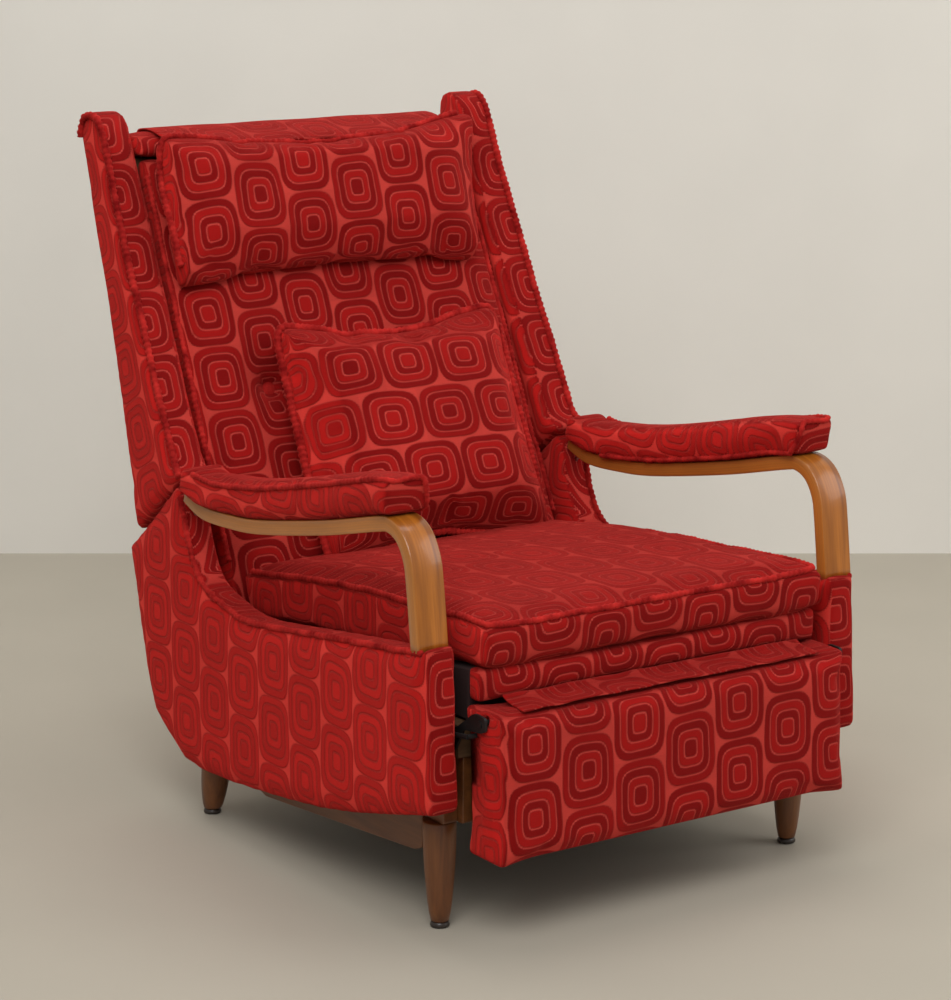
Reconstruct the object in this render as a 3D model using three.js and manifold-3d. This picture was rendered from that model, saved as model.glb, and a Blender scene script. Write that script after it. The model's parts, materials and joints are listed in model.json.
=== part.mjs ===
// Recliner armchair with a footrest, as an assembly of separate parts, in millimetres.
// +Z is up, the chair faces -Y, and X runs across it. The origin is on the floor, under the
// middle of the chair. "left" is -X, which is on the left as seen from in front of the chair.
import * as THREE from "three";
import { mergeVertices } from "three/addons/utils/BufferGeometryUtils.js";
import Module from "manifold-3d";

const wasm = await Module();
wasm.setup();

// ---------------------------------------------------------------- driving dimensions

const GAP = 0.4;                  // air between two parts that touch on the real chair
const SIDES = [["left", -1], ["right", 1]];

const PANEL = { inner: 314, outer: 367, edge: 6 };          // upholstered side panels
const ARM = { inner: 320, outer: 367, thick: 21 };          // laminated bent arms
const ARM_PAD = { inner: 309, outer: 379, under: 11, thick: 43, swell: 8, end: 0.765, edge: 9 };
const WING = { inner: 309, outer: 367, edge: 6, lean: 0.031, leanFrom: 510 };
const BACK = { half: 301, foot: [174, 370], slope: THREE.MathUtils.degToRad(24.9) };
const REAR = { foot: [359, 413], slope: THREE.MathUtils.degToRad(15.93), cover: 8, board: 22 };
const SEAT = { half: 284, front: -472, frontTop: 437, frontBottom: 368, rear: 166, rearTop: 372 };
const FRAME = { half: 299, rail: 34, front: -428, rear: 138, bottom: 245, top: 290 };
const BORDER = { half: 284, front: -460, rear: -427, bottom: 326, top: 367 };
const FOOTREST = { half: 295.5, top: 319, bottom: 123, topFront: -517, bottomFront: -525, depth: 66, board: 11 };
const RAIL = { inner: 290, outer: 312 };                    // wooden base rails
const FRONT_LEG = { x: 302, y: -387, height: 150, topRadius: 23, footRadius: 12 };
const REAR_LEG = { x: 325, y: 198, height: 83, topRadius: 22, footRadius: 13, rake: 0.194 };
const GLIDE = { radius: 12.5, height: 8 };

// The linkage, in the plane of a side: the back turns on BACK_PIVOT and its arms push the rods,
// which swing the footrest about FOOT_PIVOT. Both cranks stand evenly about straight down.
const BACK_PIVOT = [260, 285];
const FOOT_PIVOT = [-484, 306];
const RECLINE = THREE.MathUtils.degToRad(20);
const SWING = THREE.MathUtils.degToRad(85);
const BACK_CRANK = 107;
const FOOT_CRANK = BACK_CRANK * Math.sin(RECLINE / 2) / Math.sin(SWING / 2);
const ROD_REAR = below(BACK_PIVOT, BACK_CRANK, RECLINE / 2);
const ROD_FRONT = below(FOOT_PIVOT, FOOT_CRANK, SWING / 2);
const ROD = { x: 309, radius: 3.5, stub: 296.2 };
const ROD_SLOT = { half: 5.2, above: 10, under: 4.6, corner: 2.5 };   // about the rod's end at rest
const STEEL = { bracket: [299.3, 303.3], backArm: [302.4, 305.2], pivotPlate: [310.4, 313.6], hingePlate: [295.8, 298.8] };

const LOOKS = {
  velvet: { color: 0xb5222a, roughness: 0.9, metalness: 0 },
  lining: { color: 0x3a2020, roughness: 0.95, metalness: 0 },
  honeyWood: { color: 0xa9702f, roughness: 0.4, metalness: 0 },
  darkWood: { color: 0x5b3520, roughness: 0.45, metalness: 0 },
  frameWood: { color: 0xc49a6a, roughness: 0.7, metalness: 0 },
  steel: { color: 0x8c8c8c, roughness: 0.4, metalness: 1 },
  webbing: { color: 0x2b2620, roughness: 0.9, metalness: 0 },
  glide: { color: 0x241a14, roughness: 0.5, metalness: 0 },
};

// ---------------------------------------------------------------- shape helpers

/** The end of a crank of the given length that hangs from a pivot, turned to the rear by an angle. */
function below([y, z], length, angle) {
  return [y + length * Math.sin(angle), z - length * Math.cos(angle)];
}

/** A point beside a sloping line: `along` it from its foot, and `out` in front of it. */
function onSlope({ foot, slope }, along, out) {
  const y = foot[0] + along * Math.sin(slope) - out * Math.cos(slope);
  const z = foot[1] + along * Math.cos(slope) + out * Math.sin(slope);
  return [y, z];
}

/** A closed outline through corner points, each corner rounded by its radius. */
function rounded(points, radius) {
  const shape = new THREE.Shape();
  const corner = points.map(([a, b]) => new THREE.Vector2(a, b));
  corner.forEach((here, i) => {
    const before = corner[(i + corner.length - 1) % corner.length];
    const after = corner[(i + 1) % corner.length];
    const size = points[i][2] ?? radius;
    const cut = Math.min(size, here.distanceTo(before) * 0.4, here.distanceTo(after) * 0.4);
    const start = here.clone().lerp(before, cut / here.distanceTo(before));
    const end = here.clone().lerp(after, cut / here.distanceTo(after));
    if (i === 0) shape.moveTo(start.x, start.y);
    else shape.lineTo(start.x, start.y);
    shape.quadraticCurveTo(here.x, here.y, end.x, end.y);
  });
  shape.closePath();
  return shape;
}

/** A strip along part of a smooth line, between two distances above it; the upper one may grow by `swell`. */
function strip(points, low, high, steps, end = 1, swell = 0) {
  const line = new THREE.CatmullRomCurve3(points.map(([y, z]) => new THREE.Vector3(y, z, 0)), false, "centripetal");
  const upper = [];
  const lower = [];
  for (let i = 0; i <= steps; i += 1) {
    const at = line.getPointAt((i / steps) * end);
    const way = line.getTangentAt((i / steps) * end);
    const above = high + swell * (i / steps);
    upper.push(new THREE.Vector2(at.x - way.y * above, at.y + way.x * above));
    lower.push(new THREE.Vector2(at.x - way.y * low, at.y + way.x * low));
  }
  return new THREE.Shape(upper.concat(lower.reverse()));
}

function ribbon(points, thick, steps) {
  return strip(points, -thick / 2, thick / 2, steps);
}

const ACROSS = new THREE.Matrix4().makeBasis(
  new THREE.Vector3(0, 1, 0), new THREE.Vector3(0, 0, 1), new THREE.Vector3(1, 0, 0));

/** A side-view outline (its axes are Y and Z) given a width from x0 to x1, with rounded edges. */
function slab(shape, x0, x1, edge = 0, detail = 3) {
  const left = Math.min(x0, x1);
  const width = Math.abs(x1 - x0);
  const bevel = edge > 0
    ? { bevelThickness: edge, bevelSize: edge, bevelOffset: -edge, bevelSegments: 2 }
    : {};
  const solid = new THREE.ExtrudeGeometry(shape, {
    depth: width - 2 * edge, bevelEnabled: edge > 0, curveSegments: detail, ...bevel });
  solid.translate(0, 0, left + edge);
  return solid.applyMatrix4(ACROSS);
}

/** The same slab on one side of the chair: inner and outer are distances from its middle plane. */
function sideSlab(shape, side, inner, outer, edge = 0, detail = 3) {
  return slab(shape, side * inner, side * outer, edge, detail);
}

/** A round bar between two points. */
function bar(from, to, radius, sides = 16) {
  const start = new THREE.Vector3(...from);
  const way = new THREE.Vector3(...to).sub(start);
  const solid = new THREE.CylinderGeometry(radius, radius, way.length(), sides);
  solid.translate(0, way.length() / 2, 0);
  solid.applyQuaternion(new THREE.Quaternion().setFromUnitVectors(new THREE.Vector3(0, 1, 0), way.normalize()));
  return solid.translate(start.x, start.y, start.z);
}

/** A bar across the chair at a point of the side view. */
function crossBar(side, inner, outer, [y, z], radius, sides = 20) {
  return bar([side * inner, y, z], [side * outer, y, z], radius, sides);
}

function toSolid(geometry) {
  const plain = geometry.index ? geometry.toNonIndexed() : geometry.clone();
  plain.deleteAttribute("normal");
  plain.deleteAttribute("uv");
  const merged = mergeVertices(plain, 1e-4);
  return new wasm.Manifold(new wasm.Mesh({
    numProp: 3,
    vertProperties: new Float32Array(merged.attributes.position.array),
    triVerts: new Uint32Array(merged.index.array),
  }));
}

function toGeometry(solid) {
  const { vertProperties, triVerts, numProp } = solid.getMesh();
  const position = new Float32Array((vertProperties.length / numProp) * 3);
  for (let i = 0; i < position.length / 3; i += 1) {
    position.set(vertProperties.subarray(i * numProp, i * numProp + 3), i * 3);
  }
  const geometry = new THREE.BufferGeometry();
  geometry.setAttribute("position", new THREE.BufferAttribute(position, 3));
  geometry.setIndex(new THREE.BufferAttribute(new Uint32Array(triVerts), 1));
  geometry.computeVertexNormals();
  return geometry;
}

function cut(geometry, tools) {
  return toGeometry(tools.reduce((solid, tool) => solid.subtract(toSolid(tool)), toSolid(geometry)));
}

function join(geometries) {
  return toGeometry(geometries.slice(1).reduce((solid, next) => solid.add(toSolid(next)), toSolid(geometries[0])));
}

/** Move every vertex by a rule on its x, y and z, as for a lean or a taper. */
function reshape(geometry, rule) {
  const place = geometry.attributes.position;
  const point = new THREE.Vector3();
  for (let i = 0; i < place.count; i += 1) {
    point.fromBufferAttribute(place, i);
    rule(point);
    place.setXYZ(i, point.x, point.y, point.z);
  }
  geometry.computeVertexNormals();
  return geometry;
}

/** How far the wings have leaned in at a height above the seat. */
function leanAt(z) {
  return WING.lean * Math.max(0, z - WING.leanFrom);
}

/** Narrow a piece that stands between the wings as they lean in. */
function betweenWings(geometry, half) {
  return reshape(geometry, (point) => { point.x *= 1 - leanAt(point.z) / half; });
}

function mesh(name, look, geometry) {
  const part = new THREE.Mesh(geometry, new THREE.MeshStandardMaterial(LOOKS[look]));
  part.name = name;
  return part;
}

function group(parts) {
  const holder = new THREE.Group();
  holder.add(...parts);
  return holder;
}

// ---------------------------------------------------------------- side panels and bent arms

const ARM_LINE = [[186, 493], [136, 478], [60, 479], [-30, 488], [-203, 521], [-335, 552], [-366, 556],
  [-393, 544], [-411, 517], [-418, 482], [-427, 407]];
const POST_BOLT = { from: [-424.3, 440], to: [-429.5, 345], radius: 4 };
const REAR_BOLT = { from: [171, 497], to: [214, 437], radius: 4 };

/** The boat-shaped outline of a side panel, with its tip that rises to the end of the arm. */
function panelOutline() {
  const shape = new THREE.Shape();
  shape.moveTo(-445, 405);
  shape.lineTo(-457, 187);
  shape.splineThru(spline([[-373, 163], [-192, 121], [29, 93], [144, 85], [205, 88]]));
  shape.splineThru(spline([[269, 123], [303, 154], [334, 242], [350, 313], [367, 377]]));
  shape.lineTo(287, 439);
  shape.lineTo(222, 492);
  shape.quadraticCurveTo(212, 502, 203, 488);
  shape.splineThru(spline([[190, 460], [184, 435], [166, 401], [139, 373], [92, 359], [19, 349], [-80, 359], [-199, 375],
    [-345, 393], [-445, 405]]));
  return shape;
}

function spline(points) {
  return points.map(([y, z]) => new THREE.Vector2(y, z));
}

function boltBar(side, bolt, slack) {
  const x = side * (ARM.inner + ARM.outer) / 2;
  return bar([x, ...bolt.from], [x, ...bolt.to], bolt.radius + slack, 12);
}

function sidePanel(name, side) {
  const panel = sideSlab(panelOutline(), side, PANEL.inner, PANEL.outer, PANEL.edge, 2);
  const holes = [POST_BOLT, REAR_BOLT].map((bolt) => boltBar(side, bolt, GAP));
  return mesh(`side_panel_${name}`, "velvet", cut(panel, holes));
}

function bentArm(name, side) {
  const strip = sideSlab(ribbon(ARM_LINE, ARM.thick, 30), side, ARM.inner, ARM.outer, 1.5);
  const holes = [POST_BOLT, REAR_BOLT].map((bolt) => boltBar(side, bolt, GAP));
  return mesh(`bent_arm_${name}`, "honeyWood", cut(strip, holes));
}

function armPad(name, side) {
  const { under, thick, swell, end, inner, outer, edge } = ARM_PAD;
  // The arm's line runs to the front, so what lies above it is on its negative side.
  const outline = strip(ARM_LINE, -under, -under - thick, 22, end, -swell);
  return mesh(`arm_pad_${name}`, "velvet", sideSlab(outline, side, inner, outer, edge));
}

function armBolts(name, side) {
  return [
    mesh(`arm_post_bolt_${name}`, "steel", boltBar(side, POST_BOLT, -0.4)),
    mesh(`arm_rear_bolt_${name}`, "steel", boltBar(side, REAR_BOLT, -0.4)),
  ];
}

// ---------------------------------------------------------------- wooden base and legs

function baseRail(name, side) {
  const lift = FRONT_LEG.height + GAP;
  const behindLeg = FRONT_LEG.y + FRONT_LEG.topRadius + 4;
  const outline = rounded([[-412, lift], [-412, 196], [-300, 176], [240, 150], [250, 100], [142, 86],
    [60, 60], [-341, 96], [behindLeg, 104], [behindLeg, lift]], 4);
  return mesh(`base_rail_${name}`, "darkWood", sideSlab(outline, side, RAIL.inner, RAIL.outer, 1.5, 2));
}

function crossRail(name, y, low) {
  const outline = rounded([[y, low], [y + 25, low], [y + 25, FRAME.bottom - GAP], [y, FRAME.bottom - GAP]], 3);
  const half = RAIL.inner - GAP;
  return mesh(name, "darkWood", slab(outline, -half, half, 1, 2));
}

/** A tapered turned leg; a rake slides each ring to the front as it rises. */
function leg(name, side, size) {
  const foot = GLIDE.height + GAP;
  const belly = 0.62;
  const profile = [
    new THREE.Vector2(0, foot),
    new THREE.Vector2(size.footRadius, foot),
    new THREE.Vector2(THREE.MathUtils.lerp(size.footRadius, size.topRadius, belly), size.height * 0.45),
    new THREE.Vector2(size.topRadius, size.height - 12),
    new THREE.Vector2(size.topRadius, size.height),
    new THREE.Vector2(0, size.height),
  ];
  const solid = new THREE.LatheGeometry(profile, 24);
  solid.rotateX(Math.PI / 2);
  reshape(solid, (point) => { point.y -= (size.rake ?? 0) * point.z; });
  solid.translate(side * size.x, size.y, 0);
  return mesh(name, "darkWood", solid);
}

function glide(name, side, size) {
  const disc = new THREE.CylinderGeometry(GLIDE.radius, GLIDE.radius - 1.5, GLIDE.height, 24);
  disc.rotateX(Math.PI / 2);
  const part = mesh(name, "glide", disc);
  part.position.set(side * size.x, size.y - (size.rake ?? 0) * GLIDE.height / 2, GLIDE.height / 2);
  return part;
}

/** The upholstered panel that closes the chair's lower rear, between the side panels. */
function rearPanel() {
  const outline = rounded([[318, 340], [310, 250], [287, 165], [262, 130], [250, 138], [273, 170],
    [295, 252], [303, 340]], 5);
  return mesh("rear_panel", "velvet", slab(outline, -298, 298, 3, 2));
}

// ---------------------------------------------------------------- seat

function seatFrame() {
  const { half, rail, front, rear, bottom, top } = FRAME;
  const outer = new THREE.BoxGeometry(2 * half, rear - front, top - bottom);
  const inner = new THREE.BoxGeometry(2 * (half - rail), rear - front - 2 * rail, top - bottom + 10);
  const frame = mesh("seat_frame", "frameWood", cut(outer, [inner]));
  frame.position.set(0, (front + rear) / 2, (top + bottom) / 2);
  return frame;
}

function seatStrap(index, y) {
  const strap = new THREE.BoxGeometry(2 * FRAME.half - 12, 60, 2.4);
  const part = mesh(`seat_strap_${index}`, "webbing", strap);
  part.position.set(0, y, FRAME.top + GAP + 1.2);
  return part;
}

const PLATFORM_BOTTOM = FRAME.top + 3.4;

function seatPlatform() {
  const outline = rounded([[BORDER.rear + GAP, PLATFORM_BOTTOM], [BORDER.rear + GAP, SEAT.frontBottom - 4],
    [128, 302], [128, PLATFORM_BOTTOM]], 3);
  return mesh("seat_platform", "lining", slab(outline, -282, 282, 2, 2));
}

function seatBorder() {
  const { front, rear, bottom, top, half } = BORDER;
  const outline = rounded([[front + 3, bottom, 6], [rear, bottom], [rear, top], [front, top, 8]], 3);
  return mesh("seat_front_border", "velvet", slab(outline, -half, half, 2, 3));
}

function seatCushion() {
  const { front, frontTop, frontBottom, rear, rearTop, half } = SEAT;
  const outline = rounded([[front + 5, frontBottom + 1.5, 14], [-427, frontBottom], [139, 304, 12], [rear, rearTop, 16],
    [-120, 424, 120], [front, frontTop, 16]], 10);
  return mesh("seat_cushion", "velvet", slab(outline, -half, half, 9, 4));
}

// ---------------------------------------------------------------- back

function backBoard() {
  const near = REAR.cover + GAP;
  const far = near + REAR.board;
  const outline = rounded([onSlope(REAR, -34, near), onSlope(REAR, 552, near), onSlope(REAR, 552, far),
    onSlope(REAR, -34, far)], 2);
  return mesh("back_board", "frameWood", betweenWings(slab(outline, -BACK.half, BACK.half, 1, 2), BACK.half));
}

function outerBack() {
  const outline = rounded([onSlope(REAR, -64, 0), onSlope(REAR, 560, 0), onSlope(REAR, 560, REAR.cover),
    onSlope(REAR, -64, REAR.cover)], 2);
  return mesh("outer_back", "velvet", betweenWings(slab(outline, -BACK.half, BACK.half, 1, 2), BACK.half));
}

function topRail() {
  const outline = rounded([onSlope(REAR, 563, 0), [521, 988, 14], [464, 988, 16], [446, 958]], 9);
  return mesh("top_rail", "velvet", betweenWings(slab(outline, -BACK.half, BACK.half, 3, 3), BACK.half));
}

/** The thick inner back: its front is the slope that the sitter leans on. */
function backPad() {
  const behind = REAR.cover + REAR.board + 2 * GAP;
  const outline = rounded([onSlope(BACK, -44, 0), onSlope(BACK, -60, -30), onSlope(REAR, -34, behind),
    onSlope(REAR, 540, behind), onSlope(BACK, 642, 0)], 14);
  const pad = betweenWings(slab(outline, -BACK.half, BACK.half, 9, 3), BACK.half);
  const dimples = SIDES.map(([, side]) => buttonBar(side, BUTTON.depth - GAP, BUTTON.radius + GAP, 30));
  return mesh("back_pad", "velvet", cut(pad, dimples));
}

const BUTTON = { x: 152, along: 274, radius: 13, depth: -9, thick: 6 };

function buttonBar(side, low, radius, high) {
  const at = (out) => [side * BUTTON.x, ...onSlope(BACK, BUTTON.along, out)];
  return bar(at(low), at(high), radius, 16);
}

function backButton(name, side) {
  return mesh(`back_button_${name}`, "velvet", buttonBar(side, BUTTON.depth, BUTTON.radius, BUTTON.depth + BUTTON.thick));
}

/** A side wing of the back. Its foot is cut on a slant, so it clears the side panel as it reclines. */
function wing(name, side) {
  const outline = rounded([[205, 512, 10], [230, 545, 20], [318, 719, 60], [416, 920, 60], [452, 1000, 24], [478, 1021, 20],
    [508, 1021, 20], [526, 988, 20], [432, 705, 60], [352, 407, 20]], 10);
  const slope = sideSlab(outline, side, WING.inner, WING.outer, WING.edge, 3);
  return mesh(`wing_${name}`, "velvet", reshape(slope, (point) => { point.x -= side * leanAt(point.z); }));
}

function headrestFlap() {
  const strip = ribbon([[438, 968], [452, 984], [468, 993], [500, 995], [518, 990], [524, 972]], 2, 14);
  return mesh("headrest_flap", "velvet", slab(strip, -255, 255));
}

function headrestPillow() {
  const outline = rounded([onSlope(BACK, 425, 3), onSlope(BACK, 640, 8), onSlope(BACK, 652, 50),
    onSlope(BACK, 630, 92), onSlope(BACK, 440, 100), onSlope(BACK, 424, 60)], 22);
  return mesh("headrest_pillow", "velvet", slab(outline, -276, 272, 12, 4));
}

function lumbarCushion() {
  const outline = rounded([onSlope(BACK, 8, 4), onSlope(BACK, 350, 4), onSlope(BACK, 366, 52), onSlope(BACK, 346, 98),
    onSlope(BACK, 20, 108), onSlope(BACK, -8, 84), onSlope(BACK, -8, 46)], 22);
  return mesh("lumbar_cushion", "velvet", slab(outline, -172, 232, 12, 4));
}

// ---------------------------------------------------------------- mechanism

function pivotBracket(name, side) {
  const [y, z] = BACK_PIVOT;
  const outline = rounded([[y - 26, z - 34], [y + 26, z - 34], [y + 34, z + 40], [y - 26, z + 40]], 8);
  const plate = sideSlab(outline, side, ...STEEL.pivotPlate);
  return mesh(`pivot_bracket_${name}`, "steel", cut(plate, [crossBar(side, 308, 316, BACK_PIVOT, 6 + GAP)]));
}

function pivotPin(name, side) {
  return mesh(`pivot_pin_${name}`, "steel", crossBar(side, 300, STEEL.pivotPlate[1], BACK_PIVOT, 6));
}

/** The steel arm that carries the back, from the end of the push rod up the side of the back board. */
function backArm(name, side) {
  const [y, z] = ROD_REAR;
  const outline = rounded([[y - 12, z - 12], [y + 12, z - 12], [y + 12, 262], onSlope(REAR, -14, 10), onSlope(REAR, 150, 10),
    onSlope(REAR, 150, 34), onSlope(REAR, 30, 40), [BACK_PIVOT[0] - 16, BACK_PIVOT[1] + 24], [BACK_PIVOT[0] - 16, 262]], 9);
  const plate = sideSlab(outline, side, ...STEEL.backArm);
  const holes = [crossBar(side, 298, 308, BACK_PIVOT, 6 + GAP), crossBar(side, 298, 308, ROD_REAR, ROD.radius + GAP)];
  return mesh(`back_arm_${name}`, "steel", cut(plate, holes));
}

/** A round push rod with both ends turned inwards: the rear one in the back arm, the front one in the hinge plate. */
function pushRod(name, side) {
  const x = side * ROD.x;
  const stub = (end, inner) => bar([x + side, ...end], [side * inner, ...end], ROD.radius, 12);
  const rod = bar([x, ...ROD_REAR], [x, ...ROD_FRONT], ROD.radius, 12);
  return mesh(`push_rod_${name}`, "steel", join([rod, stub(ROD_REAR, STEEL.backArm[0] - 1), stub(ROD_FRONT, ROD.stub)]));
}

function footrestBracket(name, side) {
  const [y, z] = FOOT_PIVOT;
  const outline = rounded([[y - 12, z - 8], [y - 12, z + 11], [y + 14, z + 12], [-428, 288], [-320, 286], [-320, 254],
    [-424, 254], [-446, 290], [y, z - 12]], 6);
  const plate = sideSlab(outline, side, ...STEEL.bracket);
  return mesh(`footrest_bracket_${name}`, "steel", cut(plate, [crossBar(side, 298, 305, FOOT_PIVOT, 5 + GAP)]));
}

/** The plate on the end of the footrest: a hole for its pin, and a slot for the push rod's end. */
function hingePlate(name, side) {
  const outline = rounded([[-501, 316], [-456, 316], [-455, 280], [-470, 190], [-500, 190]], 8);
  const plate = sideSlab(outline, side, ...STEEL.hingePlate);
  const { half, above, under, corner } = ROD_SLOT;
  const slot = rounded([[-half, above], [half, above], [half, -under], [-half, -under]], corner);
  const slotBar = sideSlab(slot, side, 294, 301);
  slotBar.rotateX(SWING / 2);
  slotBar.translate(0, ROD_FRONT[0], ROD_FRONT[1]);
  return mesh(`hinge_plate_${name}`, "steel", cut(plate, [crossBar(side, 294, 301, FOOT_PIVOT, 5 + GAP), slotBar]));
}

function footrestPin(name, side) {
  return mesh(`footrest_pin_${name}`, "steel", crossBar(side, 272, STEEL.bracket[1] + 1, FOOT_PIVOT, 5));
}

// ---------------------------------------------------------------- footrest

function footrestPanel() {
  const { half, top, bottom, topFront, bottomFront, depth } = FOOTREST;
  const outline = rounded([[bottomFront, bottom, 12], [bottomFront + depth, bottom, 10], [topFront + depth, top, 10],
    [topFront, top, 12]], 8);
  const pins = SIDES.map(([, side]) => crossBar(side, 270, 300, FOOT_PIVOT, 5 + GAP));
  return mesh("footrest_panel", "velvet", cut(slab(outline, -half, half, 4, 3), pins));
}

function footrestBoard() {
  const { half, top, bottom, topFront, bottomFront, depth, board } = FOOTREST;
  const near = depth + GAP;
  const outline = rounded([[bottomFront + near, bottom + 4], [bottomFront + near + board, bottom + 4],
    [topFront + near + board, top - 5], [topFront + near, top - 5]], 2);
  return mesh("footrest_board", "frameWood", slab(outline, -half + 6, half - 6, 1, 2));
}

/** The cloth that joins the seat's front border to the top of the footrest. */
function footrestFlap() {
  const strip = ribbon([[-456, 324.4], [-482, 321.6], [-511, 320.8]], 1.4, 8);
  return mesh("footrest_flap", "velvet", slab(strip, -250, 250));
}

// ---------------------------------------------------------------- assembly

function eachSide(make) {
  return SIDES.flatMap(([name, side]) => make(name, side));
}

const base = group([
  ...eachSide(sidePanel), ...eachSide(bentArm), ...eachSide(armPad), ...eachSide(armBolts), ...eachSide(baseRail),
  crossRail("front_cross_rail", -425, FRONT_LEG.height + GAP + 1), crossRail("rear_cross_rail", 110, 95), rearPanel(),
  ...eachSide((name, side) => leg(`front_leg_${name}`, side, FRONT_LEG)),
  ...eachSide((name, side) => leg(`rear_leg_${name}`, side, REAR_LEG)),
  ...eachSide((name, side) => glide(`front_glide_${name}`, side, FRONT_LEG)),
  ...eachSide((name, side) => glide(`rear_glide_${name}`, side, REAR_LEG)),
  seatFrame(), ...[-330, -150, 30].map((y, i) => seatStrap(i + 1, y)), seatPlatform(), seatBorder(), seatCushion(),
  ...eachSide(pivotBracket), ...eachSide(pivotPin), ...eachSide(footrestBracket), footrestFlap(),
]);
const back = group([
  backBoard(), outerBack(), topRail(), backPad(), ...eachSide(backButton), ...eachSide(wing), ...eachSide(backArm),
  headrestFlap(),
]);
const rods = group(eachSide(pushRod));
const footrest = group([footrestPanel(), footrestBoard(), ...eachSide(hingePlate), ...eachSide(footrestPin)]);
const chair = group([base, back, rods, footrest, headrestPillow(), lumbarCushion()]);

export default chair;
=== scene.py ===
"""Looks of a reclining armchair: velvet upholstery, bentwood arms, turned legs and a steel linkage.

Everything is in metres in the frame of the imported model: +Z up, the chair faces -Y, "left" is -X.
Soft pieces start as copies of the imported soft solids, which are shrunk a little, remeshed, blown up
as cloth and then trimmed with piping along their seams.
"""
from __future__ import annotations

import json
import logging
import math
from dataclasses import dataclass, field
from enum import Enum
from typing import Callable, Optional, Sequence, Union

import bmesh
import bpy
import numpy as np
from mathutils import Matrix, Vector, noise
from mathutils.bvhtree import BVHTree

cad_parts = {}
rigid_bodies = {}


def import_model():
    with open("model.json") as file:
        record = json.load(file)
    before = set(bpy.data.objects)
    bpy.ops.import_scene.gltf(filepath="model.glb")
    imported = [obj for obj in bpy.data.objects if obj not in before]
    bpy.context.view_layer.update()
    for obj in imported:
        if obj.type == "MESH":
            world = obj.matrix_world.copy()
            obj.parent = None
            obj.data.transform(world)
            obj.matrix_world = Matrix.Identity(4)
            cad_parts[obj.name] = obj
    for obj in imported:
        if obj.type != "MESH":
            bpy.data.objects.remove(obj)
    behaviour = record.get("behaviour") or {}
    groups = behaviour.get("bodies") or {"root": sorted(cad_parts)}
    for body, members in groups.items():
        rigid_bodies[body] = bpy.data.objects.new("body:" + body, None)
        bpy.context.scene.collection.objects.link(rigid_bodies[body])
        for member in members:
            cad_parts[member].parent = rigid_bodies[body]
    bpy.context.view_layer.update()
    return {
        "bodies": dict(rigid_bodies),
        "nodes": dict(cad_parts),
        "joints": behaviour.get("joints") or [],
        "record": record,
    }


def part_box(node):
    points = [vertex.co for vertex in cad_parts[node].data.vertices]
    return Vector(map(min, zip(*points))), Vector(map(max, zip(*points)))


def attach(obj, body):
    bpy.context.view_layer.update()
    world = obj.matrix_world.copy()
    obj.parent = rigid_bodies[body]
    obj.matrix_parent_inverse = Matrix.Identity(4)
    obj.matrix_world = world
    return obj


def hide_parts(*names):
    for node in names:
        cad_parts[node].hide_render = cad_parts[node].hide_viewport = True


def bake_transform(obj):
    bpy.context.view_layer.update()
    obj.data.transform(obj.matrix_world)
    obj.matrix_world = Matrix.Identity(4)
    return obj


LOG = logging.getLogger("armchair")
Point = tuple[float, float, float]
Colour = tuple[float, float, float]
SIDES = (("left", -1), ("right", 1))
BACK_SLOPE = math.radians(24.9)
BACK_FOOT = Vector((0.0, 0.174, 0.370))


# ------------------------------------------------------------------ shader maths


class Wire:
    """One output of a node tree, on which arithmetic adds Math nodes."""

    def __init__(self, shader: "Shader", socket: bpy.types.NodeSocket) -> None:
        """Wrap a socket of a shader's tree."""
        self.shader = shader
        self.socket = socket

    def _do(self, operation: str, *others: Union["Wire", float], first: bool = True) -> "Wire":
        """Add a Math node on this wire and others; `first` says that this wire goes in first.

        Args:
            operation: the Math node's operation.
            first: whether this wire goes in first.
            others: the further values.
        """
        values = (self, *others) if first else (*others, self)
        return self.shader.add("ShaderNodeMath", {"operation": operation}, values)

    def __add__(self, other: Union["Wire", float]) -> "Wire":
        """Sum."""
        return self._do("ADD", other)

    __radd__ = __add__

    def __sub__(self, other: Union["Wire", float]) -> "Wire":
        """Difference."""
        return self._do("SUBTRACT", other)

    def __rsub__(self, other: Union["Wire", float]) -> "Wire":
        """Difference, with this wire taken away."""
        return self._do("SUBTRACT", other, first=False)

    def __mul__(self, other: Union["Wire", float]) -> "Wire":
        """Product."""
        return self._do("MULTIPLY", other)

    __rmul__ = __mul__

    def __truediv__(self, other: Union["Wire", float]) -> "Wire":
        """Quotient."""
        return self._do("DIVIDE", other)

    def __pow__(self, other: Union["Wire", float]) -> "Wire":
        """Power."""
        return self._do("POWER", other)

    def __abs__(self) -> "Wire":
        """Size without sign."""
        return self._do("ABSOLUTE")

    def floor(self) -> "Wire":
        """Next whole number down."""
        return self._do("FLOOR")

    def wrap(self, high: float) -> "Wire":
        """Remainder from 0 to `high`.

        Args:
            high: the upper end of the range.
        """
        return self._do("WRAP", high, 0.0)

    def above(self, limit: float) -> "Wire":
        """1 where the wire is over a limit, else 0.

        Args:
            limit: the value to compare with.
        """
        return self._do("GREATER_THAN", limit)

    def sine(self) -> "Wire":
        """Sine of the wire in radians."""
        return self._do("SINE")


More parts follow.
